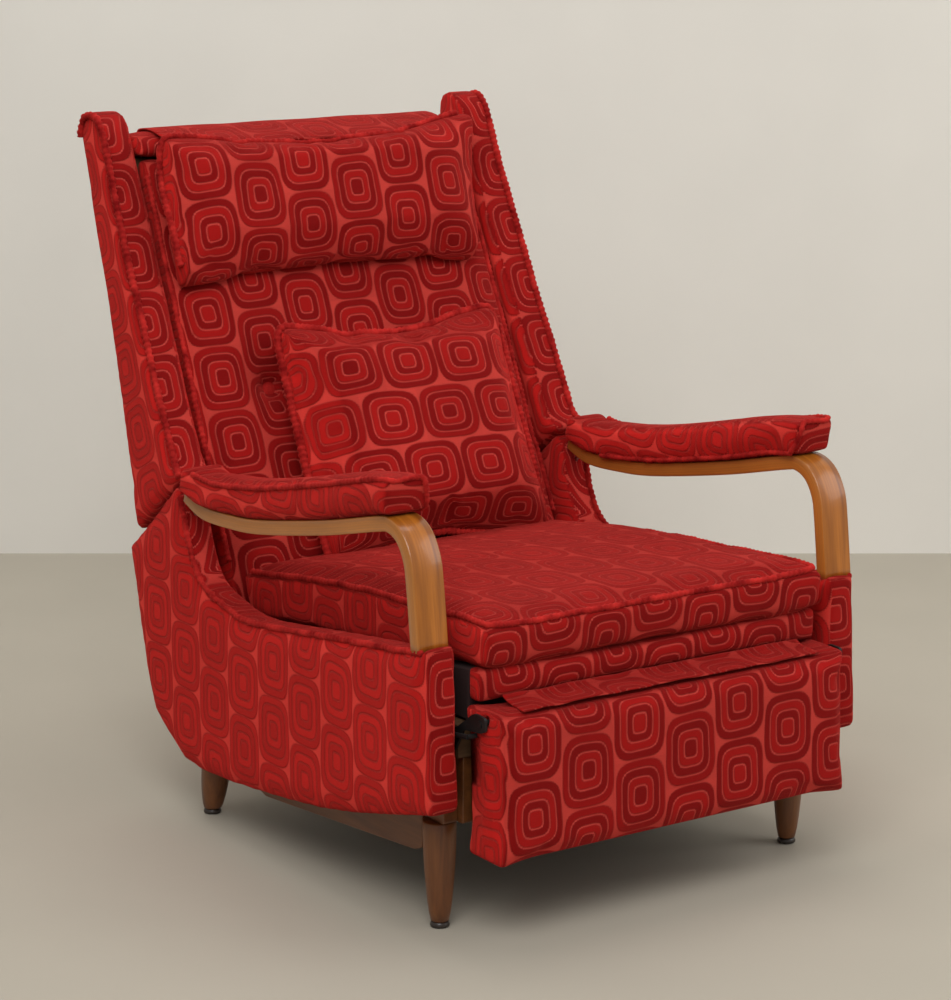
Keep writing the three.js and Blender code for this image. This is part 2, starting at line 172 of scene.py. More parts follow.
class Shader:
    """A material's node tree, with a Principled shader at its end."""

    def __init__(self, name: str) -> None:
        """Start a material with a Principled shader.

        Args:
            name: the material's name.
        """
        self.material = bpy.data.materials.new(name)
        self.material.use_nodes = True
        self.tree = self.material.node_tree
        self.surface = self.tree.nodes["Principled BSDF"]

    def add(self, kind: str, settings: Optional[dict] = None, inputs: Union[dict, Sequence, None] = None,
            output: Union[int, str] = 0) -> Wire:
        """Add a node.

        Args:
            kind: the node's type.
            settings: attributes that are set first; "stops" fills a colour ramp.
            inputs: values or wires by input name, or in order.
            output: which output to return.

        Returns:
            The chosen output as a wire.
        """
        node = self.tree.nodes.new(kind)
        for key, value in (settings or {}).items():
            if key == "stops":
                self._fill_ramp(node.color_ramp, value)
            else:
                setattr(node, key, value)
        pairs = inputs.items() if isinstance(inputs, dict) else enumerate(inputs or ())
        for key, value in pairs:
            self._feed(node.inputs[key], value)
        return Wire(self, node.outputs[output])

    @staticmethod
    def _fill_ramp(ramp: bpy.types.ColorRamp, stops: Sequence[tuple[float, Colour]]) -> None:
        """Give a colour ramp its stops.

        Args:
            ramp: the colour ramp.
            stops: places and colours, in order.
        """
        while len(ramp.elements) < len(stops):
            ramp.elements.new(1.0)
        for element, (place, colour) in zip(ramp.elements, stops):
            element.position = place
            element.color = (*colour, 1.0)

    def _feed(self, socket: bpy.types.NodeSocket, value: object) -> None:
        """Link a wire to a socket, or set its value.

        Args:
            socket: the socket to wrap or feed.
            value: a wire or a constant.
        """
        if isinstance(value, Wire):
            self.tree.links.new(value.socket, socket)
        elif isinstance(value, tuple) and len(value) == 3 and socket.type == "RGBA":
            socket.default_value = (*value, 1.0)
        else:
            socket.default_value = value

    def finish(self, **inputs: object) -> bpy.types.Material:
        """Set the Principled shader's inputs, with _ for a space, and return the material.

        Args:
            inputs: values or wires by input name.

        Returns:
            The material.
        """
        for key, value in inputs.items():
            self._feed(self.surface.inputs[key.replace("_", " ")], value)
        return self.material

    def place(self) -> Wire:
        """The object's own coordinates."""
        return self.add("ShaderNodeTexCoord", output="Object")

    def split(self, vector: Wire) -> tuple[Wire, Wire, Wire]:
        """The three parts of a vector.

        Args:
            vector: the vector wire.
        """
        node = self.tree.nodes.new("ShaderNodeSeparateXYZ")
        self._feed(node.inputs[0], vector)
        return tuple(Wire(self, node.outputs[i]) for i in range(3))

    def noise(self, vector: Wire, scale: float, detail: float = 2.0, stretch: Optional[Point] = None) -> Wire:
        """Noise between 0 and 1, with its vector stretched if asked.

        Args:
            vector: the vector wire.
            scale: the noise's scale.
            detail: the noise's detail.
            stretch: how much each axis counts.

        Returns:
            The result as a wire.
        """
        if stretch:
            vector = self.add("ShaderNodeVectorMath", {"operation": "MULTIPLY"}, [vector, stretch])
        return self.add("ShaderNodeTexNoise", None, {"Vector": vector, "Scale": scale, "Detail": detail})

    def blend(self, factor: Union[Wire, float], one: object, two: object, kind: str = "MIX") -> Wire:
        """Mix two colours.

        Args:
            factor: how much of the second, or how bright.
            one: the first colour.
            two: the second colour.
            kind: the way of mixing.

        Returns:
            The result as a wire.
        """
        settings = {"data_type": "RGBA", "blend_type": kind}
        return self.add("ShaderNodeMix", settings, {0: factor, 6: one, 7: two}, output=2)

    def shade(self, colour: Wire, factor: Wire) -> Wire:
        """Brighten or darken a colour by a factor.

        Args:
            colour: the colour.
            factor: how much of the second, or how bright.

        Returns:
            The result as a wire.
        """
        return self.add("ShaderNodeVectorMath", {"operation": "SCALE"}, {0: colour, "Scale": factor})

    def bump(self, height: Wire, distance: float, strength: float = 1.0) -> Wire:
        """A normal from a height, in metres at `distance`.

        Args:
            height: the height wire.
            distance: the height of 1, in metres.
            strength: how strong the effect is.

        Returns:
            The result as a wire.
        """
        return self.add("ShaderNodeBump", None, {"Height": height, "Distance": distance, "Strength": strength})


# ------------------------------------------------------------------ finishes


@dataclass(frozen=True)
class Velvet:
    """Cut velvet woven in rounded squares, each of three rings round a centre, in half-dropped columns."""

    name: str = "cut_velvet"
    column: float = 0.085
    row: float = 0.100
    half_width: float = 0.0412
    half_height: float = 0.0488
    squareness: float = 3.9
    ground: Colour = (0.48, 0.041, 0.031)
    line: Colour = (0.62, 0.064, 0.050)
    bright: Colour = (0.315, 0.0068, 0.0060)
    middle: Colour = (0.265, 0.0054, 0.0050)
    dark: Colour = (0.195, 0.0036, 0.0036)
    # Painted light on faces turned to the sides: a darker groove colour for painted shade and a lighter pile colour for
    # painted sheen.
    painted_shade_line: Colour = (0.17, 0.0034, 0.0034)
    painted_sheen_pile: Colour = (0.33, 0.010, 0.008)
    ring_edges: tuple = (0.245, 0.292, 0.495, 0.539, 0.752, 0.794, 1.0)
    pile: float = 0.0030

    def _ramp(self, shades: Sequence[Colour]) -> list[tuple[float, Colour]]:
        """Ramp stops across a square, from its centre out, for the shades of its four pile areas.

        Args:
            shades: the colours of the four pile areas, from the centre out.
        """
        soft = 0.006
        bands = [shades[0], self.line, shades[1], self.line, shades[2], self.line, shades[3], self.ground]
        stops = [(0.0, bands[0])]
        for edge, before, after in zip(self.ring_edges, bands, bands[1:]):
            stops += [((edge - soft) * 0.8, before), ((edge + soft) * 0.8, after)]
        return stops

    def _grooves(self) -> list[tuple[float, Colour]]:
        """Ramp stops that are 1 on the thin lines between the pile areas, and 0 elsewhere."""
        stops = [(0.0, (0.0,) * 3)]
        for near, far in zip(self.ring_edges[:-1:2], self.ring_edges[1:-1:2]):
            middle = (near + far) / 2
            stops += [((near - 0.012) * 0.8, (0.0,) * 3), (middle * 0.8, (1.0,) * 3), ((far + 0.012) * 0.8, (0.0,) * 3)]
        return stops + [(0.79, (0.0,) * 3), (0.81, (0.7,) * 3), (0.84, (0.0,) * 3)]

    def material(self) -> bpy.types.Material:
        """Build the velvet on the pieces' own UV map, which is in metres."""
        sh = Shader(self.name)
        uv = sh.add("ShaderNodeUVMap")
        fuzz = sh.noise(uv, 900.0, 1.0) - 0.5
        drift = sh.noise(uv, 14.0, 1.0) - 0.5
        u, v, _ = sh.split(uv)
        teeth_u, teeth_v = (v * (math.tau / 0.0034)).sine(), (u * (math.tau / 0.0034)).sine()
        u = u + fuzz * 0.0022 + drift * 0.006 + teeth_u * 0.0007
        v = v + fuzz * 0.0022 + drift * 0.006 + teeth_v * 0.0007
        across = u / self.column
        column = across.floor()
        along = v / self.row + (column.wrap(2.0)) * 0.5
        row = along.floor()
        x = abs(across - column - 0.5) * (self.column / self.half_width)
        y = abs(along - row - 0.5) * (self.row / self.half_height)
        radius = (x ** self.squareness + y ** self.squareness) ** (1.0 / self.squareness)
        scaled = radius * 0.8
        cell = sh.add("ShaderNodeCombineXYZ", None, [column, row, 0.0])
        lot = sh.add("ShaderNodeTexWhiteNoise", {"noise_dimensions": "2D"}, {"Vector": cell})
        dark_first = self._ramp((self.dark, self.bright, self.dark, self.middle))
        light_first = self._ramp((self.bright, self.dark, self.bright, self.dark))
        one = sh.add("ShaderNodeValToRGB", {"stops": dark_first}, [scaled])
        two = sh.add("ShaderNodeValToRGB", {"stops": light_first}, [scaled])
        colour = sh.blend(lot.above(0.45), one, two)
        sideways, upward, _ = sh.split(sh.add("ShaderNodeAttribute", {"attribute_name": "nap"}, output="Vector"))
        nap = sh.noise(uv, 7.0, 3.0)
        streak = sh.noise(uv, 330.0, 2.0, (0.10, 1.0, 1.0))
        lines = sh.add("ShaderNodeValToRGB", {"stops": self._grooves()}, [scaled])
        # Painted light by facing: a painted sheen lightens the pile on faces turned to the sides, painted shade darkens
        # their grooves, and painted shade with streaks darkens faces turned up.
        colour = sh.blend(sideways * 0.45, colour, self.painted_sheen_pile)
        colour = sh.blend(sideways * lines * 0.8, colour, self.painted_shade_line)
        colour = sh.blend(upward * (0.20 + streak * 0.6), colour, self.middle)
        speck = sh.noise(uv, 620.0, 2.0)
        # Brightness from random noise tone, plus a painted sheen on faces turned to the sides and painted shade on
        # faces turned up.
        level = 0.60 + lot * 0.12 + nap * 0.36 + speck * 0.34 + streak * (0.06 + upward * 0.55) + sideways * 0.66
        level = level - upward * 0.42
        colour = sh.shade(colour, level)
        low, high = (0.0, 0.0, 0.0), (1.0, 1.0, 1.0)
        heights = []
        soft = 0.014
        for index, edge in enumerate(self.ring_edges):
            before, after = (high, low) if index % 2 == 0 else (low, high)
            heights += [((edge - soft) * 0.8, before), ((edge + soft) * 0.8, after)]
        relief = sh.add("ShaderNodeValToRGB", {"stops": heights}, [scaled])
        tufts = sh.noise(uv, 1500.0, 1.0)
        height = relief * 1.0 + tufts * 0.22
        normal = sh.bump(height, self.pile, 1.0)
        return sh.finish(Base_Color=colour, Roughness=0.85, Normal=normal, Sheen_Weight=0.45,
                         Sheen_Roughness=0.4, Sheen_Tint=(1.0, 0.10, 0.08), Specular_IOR_Level=0.06)


@dataclass(frozen=True)
class PipingCloth:
    """Ribbed velvet cord cover along the seams."""

    name: str = "piping_velvet"
    light: Colour = (0.48, 0.022, 0.018)
    dark: Colour = (0.17, 0.0033, 0.0036)

    def material(self) -> bpy.types.Material:
        """Build the piping's velvet on object coordinates."""
        sh = Shader(self.name)
        place = sh.place()
        patch = sh.noise(place, 38.0, 2.0)
        fine = sh.noise(place, 420.0, 2.0)
        mix = sh.add("ShaderNodeMapRange", None, {"Value": patch + fine * 0.3, 1: 0.45, 2: 0.85})
        colour = sh.blend(mix, self.dark, self.light)
        normal = sh.bump(fine, 0.0012, 0.7)
        return sh.finish(Base_Color=colour, Roughness=0.85, Normal=normal, Sheen_Weight=0.45,
                         Sheen_Roughness=0.4, Sheen_Tint=(1.0, 0.10, 0.08), Specular_IOR_Level=0.06)


@dataclass(frozen=True)
class Lacquer:
    """Lacquered wood with its grain along one axis of the object, or along the `grain` attribute."""

    name: str
    light: Colour
    dark: Colour
    stretch: Point = (1.0, 1.0, 1.0)
    attribute: str = ""
    roughness: float = 0.32
    coat: float = 0.35
    layers: float = 0.0

    def material(self) -> bpy.types.Material:
        """Build the wood: long grain, short pores, worn patches and, on laminated work, glue lines."""
        sh = Shader(self.name)
        place = sh.place()
        if self.attribute:
            place = sh.add("ShaderNodeAttribute", {"attribute_name": self.attribute}, output="Vector")
        grain = sh.noise(place, 34.0, 6.0, self.stretch)
        pores = sh.noise(place, 190.0, 3.0, self.stretch)
        wear = sh.noise(sh.place(), 9.0, 3.0)
        mix = sh.add("ShaderNodeMapRange", None, {"Value": grain + pores * 0.35, 1: 0.42, 2: 0.92})
        colour = sh.blend(mix, self.dark, self.light)
        if self.layers:
            _, _, depth = sh.split(place)
            glue = (depth * (math.tau / self.layers)).sine()
            line = sh.add("ShaderNodeMapRange", None, {"Value": glue, 1: 0.75, 2: 1.0})
            _, side, _ = sh.split(place)
            edge = abs(side).above(0.0225)
            colour = sh.blend(edge * line * 0.55, colour, (0.16, 0.055, 0.015))
            colour = sh.blend(edge * 0.35, colour, (0.62, 0.24, 0.05))
        colour = sh.shade(colour, 0.82 + wear * 0.36)
        rough = self.roughness + (wear - 0.5) * 0.25
        normal = sh.bump(pores, 0.0006, 0.35)
        return sh.finish(Base_Color=colour, Roughness=rough, Normal=normal, Coat_Weight=self.coat,
                         Coat_Roughness=0.14)


@dataclass(frozen=True)
class Plain:
    """A plain finish with fine mottling: steel, webbing, lining or a moulded glide."""

    name: str
    light: Colour
    dark: Colour
    roughness: float = 0.5
    metallic: float = 0.0
    scale: float = 60.0
    stretch: Point = (1.0, 1.0, 1.0)
    depth: float = 0.0004

    def material(self) -> bpy.types.Material:
        """Build the finish on object coordinates."""
        sh = Shader(self.name)
        place = sh.place()
        mottle = sh.noise(place, self.scale, 5.0, self.stretch)
        fine = sh.noise(place, self.scale * 9.0, 2.0, self.stretch)
        colour = sh.blend(mottle, self.dark, self.light)
        rough = self.roughness + (mottle - 0.5) * 0.3
        return sh.finish(Base_Color=colour, Roughness=rough, Metallic=self.metallic,
                         Normal=sh.bump(fine, self.depth, 0.5))


class Finish(Enum):
    """The finishes of the chair, each made into a material once."""

    VELVET = Velvet()
    PIPING = PipingCloth()
    BENTWOOD = Lacquer("bentwood", (0.50, 0.165, 0.016), (0.17, 0.045, 0.0045), (0.07, 1.6, 1.6), "grain",
                       0.36, 0.32, 0.0035)
    LEG_WOOD = Lacquer("leg_wood", (0.20, 0.066, 0.014), (0.08, 0.023, 0.005), (1.6, 1.6, 0.10), "",
                      0.42, 0.12)
    RAIL_WOOD = Lacquer("rail_wood", (0.19, 0.064, 0.015), (0.075, 0.022, 0.005), (1.6, 0.10, 1.6), "",
                       0.45, 0.08)
    FRAME_WOOD = Lacquer("frame_timber", (0.13, 0.065, 0.025), (0.07, 0.033, 0.012), (0.10, 1.6, 1.6), "", 0.65, 0.0)
    STEEL = Plain("bright_steel", (0.50, 0.50, 0.51), (0.28, 0.28, 0.29), 0.36, 1.0, 45.0, (1.0, 0.2, 1.0))
    # Very dark steel for the footrest mechanism and push rods, as painted shade: it stands in for the shadowed gap
    # round them.
    BRACKET = Plain("mechanism_painted_shade", (0.030, 0.028, 0.027), (0.012, 0.011, 0.011), 0.5, 0.6, 45.0)
    WEBBING = Plain("woven_webbing", (0.07, 0.055, 0.045), (0.02, 0.016, 0.014), 0.85, 0.0, 260.0, (0.2, 1.0, 1.0))
    LINING = Plain("platform_lining", (0.030, 0.010, 0.009), (0.014, 0.005, 0.005), 0.9, 0.0, 320.0)
    GLIDE = Plain("moulded_glide", (0.035, 0.022, 0.016), (0.015, 0.010, 0.008), 0.38, 0.0, 80.0)

    def get(self) -> bpy.types.Material:
        """The material, built at its first use."""
        return bpy.data.materials.get(self.value.name) or self.value.material()


CAD_FINISHES = {"velvet": Finish.VELVET, "lining": Finish.LINING, "honey_wood": Finish.BENTWOOD,
                "dark_wood": Finish.RAIL_WOOD, "frame_wood": Finish.FRAME_WOOD, "steel": Finish.STEEL,
                "webbing": Finish.WEBBING, "glide": Finish.GLIDE}


# ------------------------------------------------------------------ mesh tools


@dataclass(frozen=True)
class ClothFrame:
    """How a cloth lies on a piece: its face's outward, rightward and upward ways, and the pattern's start."""

    out: Vector
    up: Vector
    start: tuple[float, float] = (0.0, 0.0)
    turned: bool = False

    @property
    def right(self) -> Vector:
        """The way to the right on the face."""
        return self.up.cross(self.out).normalized()


def on_back(x: float, along: float, out: float) -> Vector:
    """A point of the leaning back: across, up its slope from the seat, and out from its face.

    Args:
        x: metres to the right of the middle.
        along: metres up the back's slope.
        out: metres out from the back's face.

    Returns:
        The point.
    """
    up = Vector((0.0, math.sin(BACK_SLOPE), math.cos(BACK_SLOPE)))
    front = Vector((0.0, -math.cos(BACK_SLOPE), math.sin(BACK_SLOPE)))
    return Vector((x, 0.0, 0.0)) + BACK_FOOT + up * along + front * out


BACK_UP = Vector((0.0, math.sin(BACK_SLOPE), math.cos(BACK_SLOPE)))
BACK_OUT = Vector((0.0, -math.cos(BACK_SLOPE), math.sin(BACK_SLOPE)))
FRONT = Vector((0.0, -1.0, 0.0))
UP = Vector((0.0, 0.0, 1.0))


class Bench:
    """The maker's bench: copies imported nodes, blows them up as cloth, lays cloth and sews on piping."""

    turning_steps = 48
    cloth_frames = 20
    edge_from, edge_rate = 0.95, 1.7
    side_from, top_from = 0.55, 0.72

    def __init__(self, frame: dict) -> None:
        """Keep the frame's nodes.

        Args:
            frame: the loaded frame.
        """
        self.nodes = frame["nodes"]

    def new(self, name: str, mesh: bpy.types.Mesh) -> bpy.types.Object:
        """Put a mesh in the scene as an object at the origin.

        Args:
            name: the piece's name.
            mesh: the mesh to show.

        Returns:
            The piece.
        """
        piece = bpy.data.objects.new(name, mesh)
        bpy.context.scene.collection.objects.link(piece)
        return piece

    def copy_of(self, node: str, name: str, shrink: float) -> bpy.types.Object:
        """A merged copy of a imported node, its surface drawn in by `shrink`.

        Args:
            node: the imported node's name.
            name: the piece's name.
            shrink: how far to draw the surface in, in metres.

        Returns:
            The piece.
        """
        mesh = self.nodes[node].data.copy()
        mesh.materials.clear()
        solid = bmesh.new()
        solid.from_mesh(mesh)
        bmesh.ops.remove_doubles(solid, verts=solid.verts, dist=1e-5)
        bmesh.ops.recalc_face_normals(solid, faces=solid.faces)
        solid.to_mesh(mesh)
        solid.free()
        piece = self.new(name, mesh)
        if shrink:
            self.draw_in(piece, shrink)
        return piece

    @staticmethod
    def draw_in(piece: bpy.types.Object, depth: float) -> None:
        """Move every vertex inwards along its normal.

        Args:
            piece: the piece to change.
            depth: how far, in metres.
        """
        ways = [vertex.normal.copy() for vertex in piece.data.vertices]
        for vertex, way in zip(piece.data.vertices, ways):
            vertex.co -= way * depth

    @staticmethod
    def settle(piece: bpy.types.Object) -> None:
        """Replace a piece's mesh by what its modifiers make of it.

        Args:
            piece: the piece to change.
        """
        graph = bpy.context.evaluated_depsgraph_get()
        made = bpy.data.meshes.new_from_object(piece.evaluated_get(graph))
        piece.modifiers.clear()
        piece.data = made

    def remesh(self, piece: bpy.types.Object, voxel: float, even: int = 2) -> None:
        """Rebuild a piece as an even net of small squares.

        Args:
            piece: the piece to change.
            voxel: the net's fineness, in metres.
            even: rounds of smoothing.
        """
        change = piece.modifiers.new("net", "REMESH")
        change.mode = "VOXEL"
        change.voxel_size = voxel
        calm = piece.modifiers.new("calm", "SMOOTH")
        calm.iterations = even
        self.settle(piece)

    def inflate(self, piece: bpy.types.Object, pressure: float, cap: float) -> None:
        """Blow a piece up as cloth for 20 frames, and let no point move further than the cap.

        Args:
            piece: the piece to change.
            pressure: the cloth's pressure.
            cap: the furthest that a point may move.
        """
        rest = [vertex.co.copy() for vertex in piece.data.vertices]
        cloth = piece.modifiers.new("cloth", "CLOTH")
        cloth.settings.use_pressure = True
        cloth.settings.uniform_pressure_force = pressure
        cloth.settings.effector_weights.gravity = 0.0
        cloth.settings.quality = 4
        cloth.settings.tension_stiffness = 12.0
        cloth.settings.compression_stiffness = 12.0
        cloth.settings.bending_stiffness = 0.3
        cloth.collision_settings.use_collision = False
        cloth.point_cache.frame_end = self.cloth_frames
        scene = bpy.context.scene
        for frame in range(1, self.cloth_frames + 1):
            scene.frame_set(frame)
        graph = bpy.context.evaluated_depsgraph_get()
        blown = piece.evaluated_get(graph)
        moved = [vertex.co.copy() for vertex in blown.data.vertices]
        piece.modifiers.clear()
        for vertex, start, end in zip(piece.data.vertices, rest, moved):
            way = end - start
            if way.length > cap:
                way *= cap / way.length
            vertex.co = start + way
        scene.frame_set(1)

    def soften(self, piece: bpy.types.Object, rounds: int, divide: bool) -> None:
        """Calm a net and, if asked, subdivide it once.

        Args:
            piece: the piece to change.
            rounds: rounds of smoothing.
            divide: whether to subdivide once.
        """
        calm = piece.modifiers.new("calm", "SMOOTH")
        calm.iterations = rounds
        if divide:
            finer = piece.modifiers.new("finer", "SUBSURF")
            finer.levels = finer.render_levels = 1
        self.settle(piece)

    @staticmethod
    def fit(piece: bpy.types.Object, node: str, grow: float = 0.0) -> None:
        """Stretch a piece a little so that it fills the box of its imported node, grown on every side.

        Args:
            piece: the piece to change.
            node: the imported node's name.
            grow: how much larger on every side, in metres.
        """
        low, high = (Vector(corner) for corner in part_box(node))
        spots = np.empty(len(piece.data.vertices) * 3)
        piece.data.vertices.foreach_get("co", spots)
        spots = spots.reshape(-1, 3)
        least, most = spots.min(axis=0), spots.max(axis=0)
        share = (spots - least) / (most - least)
        first, last = np.array(low) - grow, np.array(high) + grow
        piece.data.vertices.foreach_set("co", (first + share * (last - first)).ravel())
        piece.data.update()

    @staticmethod
    def shape(piece: bpy.types.Object, rule: Callable[[Vector], Vector]) -> None:
        """Move each vertex by a rule.

        Args:
            piece: the piece to change.
            rule: gives each point its new place.
        """
        for vertex in piece.data.vertices:
            vertex.co = rule(vertex.co.copy())

    @classmethod
    def lay_cloth(cls, piece: bpy.types.Object, cloth: ClothFrame) -> None:
        """Lay the patterned cloth on a piece, in metres, from its main face round its edges.

        Painted light by facing is kept in a point attribute that the velvet reads: a painted sheen on faces turned to
        the sides, painted shade on faces turned up.

        Args:
            piece: the piece to change.
            cloth: how the cloth lies.
        """
        mesh = piece.data
        count = len(mesh.vertices)
        spots, facing = np.empty(count * 3), np.empty(count * 3)
        mesh.vertices.foreach_get("co", spots)
        mesh.vertices.foreach_get("normal", facing)
        axes = np.array([cloth.right, cloth.up.normalized(), cloth.out.normalized()]).T
        spots, turned = spots.reshape(-1, 3) @ axes, facing.reshape(-1, 3) @ axes
        low, high = spots.min(axis=0), spots.max(axis=0)
        r, rise, depth = spots[:, 0] - (low[0] + high[0]) / 2, spots[:, 1] - low[1], high[2] - spots[:, 2]
        upward = np.clip((abs(turned[:, 1]) - abs(turned[:, 0])) * 4 + 0.5, 0, 1)
        round_edge = np.clip((cls.edge_from - turned[:, 2]) * cls.edge_rate, 0, 1) * depth
        u = r + np.clip(turned[:, 0] * 3, -1, 1) * (1 - upward) * round_edge
        v = rise + np.clip(turned[:, 1] * 3, -1, 1) * upward * round_edge
        behind = np.empty(len(mesh.polygons) * 3)
        mesh.polygons.foreach_get("normal", behind)
        behind = behind.reshape(-1, 3) @ axes[:, 2] < -0.5
        sizes, corners = np.empty(len(mesh.polygons), int), np.empty(len(mesh.loops), int)
        mesh.polygons.foreach_get("loop_total", sizes)
        mesh.loops.foreach_get("vertex_index", corners)
        rear = np.repeat(behind, sizes)
        flat = [np.where(rear, r[corners], u[corners]) + cloth.start[0],
                np.where(rear, rise[corners], v[corners]) + cloth.start[1]]
        if cloth.turned:
            flat.reverse()
        layer = mesh.uv_layers.get("UVMap") or mesh.uv_layers.new(name="UVMap")
        layer.data.foreach_set("uv", np.stack(flat, axis=1).ravel())
        # Weights of painted light by facing: a painted sheen on faces turned to the sides, painted shade on faces
        # turned up.
        world = facing.reshape(-1, 3)
        sideways = np.clip((abs(world[:, 0]) - cls.side_from) * 4, 0, 1)
        upwards = np.clip((world[:, 2] - cls.top_from) * 5, 0, 1)
        nap = np.stack([sideways, upwards, np.zeros(count)], axis=1)
        mark = mesh.attributes.get("nap") or mesh.attributes.new("nap", "FLOAT_VECTOR", "POINT")
        mark.data.foreach_set("vector", nap.ravel())

    @staticmethod
    def smooth(piece: bpy.types.Object) -> None:
        """Shade a piece smooth.

        Args:
            piece: the piece to change.
        """
        piece.data.shade_smooth()

    def dress(self, piece: bpy.types.Object, finish: Finish, body: str,
              nodes: Sequence[str] = ()) -> None:
        """Give a piece its material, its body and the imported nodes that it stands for.

        Args:
            piece: the piece to change.
            finish: the finish.
            body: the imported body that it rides.
            nodes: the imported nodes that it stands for.
        """
        piece.data.materials.clear()
        piece.data.materials.append(finish.get())
        self.smooth(piece)
        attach(piece, body)
        if nodes:
            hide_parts(*nodes)
        LOG.info("%s rides on %s", piece.name, body)

    def mirrored(self, piece: bpy.types.Object, name: str) -> bpy.types.Object:
        """The same piece on the other side of the chair.

        Args:
            piece: the piece to change.
            name: the piece's name.

        Returns:
            The piece.
        """
        mesh = piece.data.copy()
        solid = bmesh.new()
        solid.from_mesh(mesh)
        bmesh.ops.scale(solid, vec=(-1.0, 1.0, 1.0), verts=solid.verts)
        bmesh.ops.reverse_faces(solid, faces=solid.faces)
        solid.to_mesh(mesh)
        solid.free()
        return self.new(name, mesh)

    def tube(self, name: str, points: Sequence[Vector], radius: float, closed: bool = False,
             rib: float = 0.0, pitch: float = 0.008) -> bpy.types.Object:
        """A round cord through points, ribbed along its length if asked.

        Args:
            name: the piece's name.
            points: the cord's middle line.
            radius: its radius.
            closed: whether it joins its own start.
            rib: how much its radius swells and thins, as a share.
            pitch: the length of one rib.

        Returns:
            The cord as a mesh object.
        """
        curve = bpy.data.curves.new(name, "CURVE")
        curve.dimensions = "3D"
        curve.bevel_depth = radius
        curve.bevel_resolution = 3
        curve.use_fill_caps = not closed
        spline = curve.splines.new("POLY")
        spline.points.add(len(points) - 1)
        run = 0.0
        for index, (slot, point) in enumerate(zip(spline.points, points)):
            if index:
                run += (point - points[index - 1]).length
            slot.co = (*point, 1.0)
            wobble = noise.noise(point * 60.0) * rib
            slot.radius = 1.0 + rib * math.sin(math.tau * run / pitch) + wobble
        spline.use_cyclic_u = closed
        holder = self.new(name, curve)
        graph = bpy.context.evaluated_depsgraph_get()
        mesh = bpy.data.meshes.new_from_object(holder.evaluated_get(graph))
        bpy.data.objects.remove(holder)
        piece = self.new(name, mesh)
        solid = bmesh.new()
        solid.from_mesh(mesh)
        bmesh.ops.remove_doubles(solid, verts=solid.verts, dist=1e-6)
        bmesh.ops.recalc_face_normals(solid, faces=solid.faces)
        solid.to_mesh(mesh)
        solid.free()
        return piece

    def turned(self, name: str, profile: Sequence[tuple[float, float]],
               place: Callable[[Vector], Vector]) -> bpy.types.Object:
        """Turn a profile about the upright axis and set it in place.

        Args:
            name: the piece's name.
            profile: radius and height pairs, from the axis and back to it.
            place: moves a point of the turned shape to where it belongs.

        Returns:
            The turned piece.
        """
        shape = bmesh.new()
        points = [shape.verts.new((radius, 0.0, height)) for radius, height in profile]
        edges = [shape.edges.new(pair) for pair in zip(points, points[1:])]
        bmesh.ops.spin(shape, geom=points + edges, cent=(0, 0, 0), axis=(0, 0, 1), dvec=(0, 0, 0),
                       angle=math.tau, steps=self.turning_steps, use_merge=True)
        bmesh.ops.remove_doubles(shape, verts=shape.verts, dist=1e-6)
        bmesh.ops.recalc_face_normals(shape, faces=shape.faces)
        for vertex in shape.verts:
            vertex.co = place(vertex.co.copy())
        mesh = bpy.data.meshes.new(name)
        shape.to_mesh(mesh)
        shape.free()
        return self.new(name, mesh)

    def flap(self, name: str, flap: "Flap", ripple: Callable[[Vector], float]) -> bpy.types.Object:
        """Make a cloth flap: a strip drawn along its route and given a thickness.

        Args:
            name: the piece's name.
            flap: the flap's size and route.
            ripple: how far each point rises or falls.

        Returns:
            The flap, with cloth laid on it.
        """
        route = flap.line()
        sheet = bmesh.new()
        start = [sheet.verts.new((flap.half * (2 * i / flap.across - 1), route[0].y, route[0].z))
                 for i in range(flap.across + 1)]
        row = [sheet.edges.new(pair) for pair in zip(start, start[1:])]
        for before, here in zip(route, route[1:]):
            grown = bmesh.ops.extrude_edge_only(sheet, edges=row)["geom"]
            moved = [item for item in grown if isinstance(item, bmesh.types.BMVert)]
            row = [item for item in grown if isinstance(item, bmesh.types.BMEdge)
                   and all(end in moved for end in item.verts)]
            bmesh.ops.translate(sheet, vec=here - before, verts=moved)
        for vertex in sheet.verts:
            vertex.co.z += ripple(vertex.co)
        bmesh.ops.recalc_face_normals(sheet, faces=sheet.faces)
        mesh = bpy.data.meshes.new(name)
        sheet.to_mesh(mesh)
        sheet.free()
        piece = self.new(name, mesh)
        thick = piece.modifiers.new("cloth", "SOLIDIFY")
        thick.thickness = flap.thick
        self.settle(piece)
        self.lay_cloth(piece, ClothFrame(UP, -FRONT, flap.pattern))
        piece.data.materials.append(Finish.VELVET.get())
        self.smooth(piece)
        return piece

    def piping(self, name: str, route: Sequence[Vector], pads: Sequence[bpy.types.Object], body: str,
               radius: float = 0.0045, closed: bool = False, lift: float = 0.55,
               step: float = 0.0022) -> bpy.types.Object:
        """Sew ribbed piping along a route, drawn onto the nearest surface of the pads beneath it.

        Args:
            name: the piece's name.
            route: points on or near the seam.
            pads: the pieces that the piping lies on.
            body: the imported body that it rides.
            radius: the cord's radius.
            closed: whether the line joins its own start.
            lift: how far it stands out, as a share of its radius.
            step: the distance between points.

        Returns:
            The piece.
        """
        line = smooth_line(route, step, closed)
        trees = [surface_tree(pad) for pad in pads]
        snapped = []
        for point in line:
            hits = [tree.find_nearest(point) for tree in trees]
            spot, facing, _, _ = min(hits, key=lambda hit: hit[3])
            snapped.append(spot + facing * radius * lift)
        for _ in range(3):
            snapped = calm_line(snapped, closed)
        piece = self.tube(name, snapped, radius, closed, rib=0.20, pitch=0.0090)
        self.dress(piece, Finish.PIPING, body)
        return piece


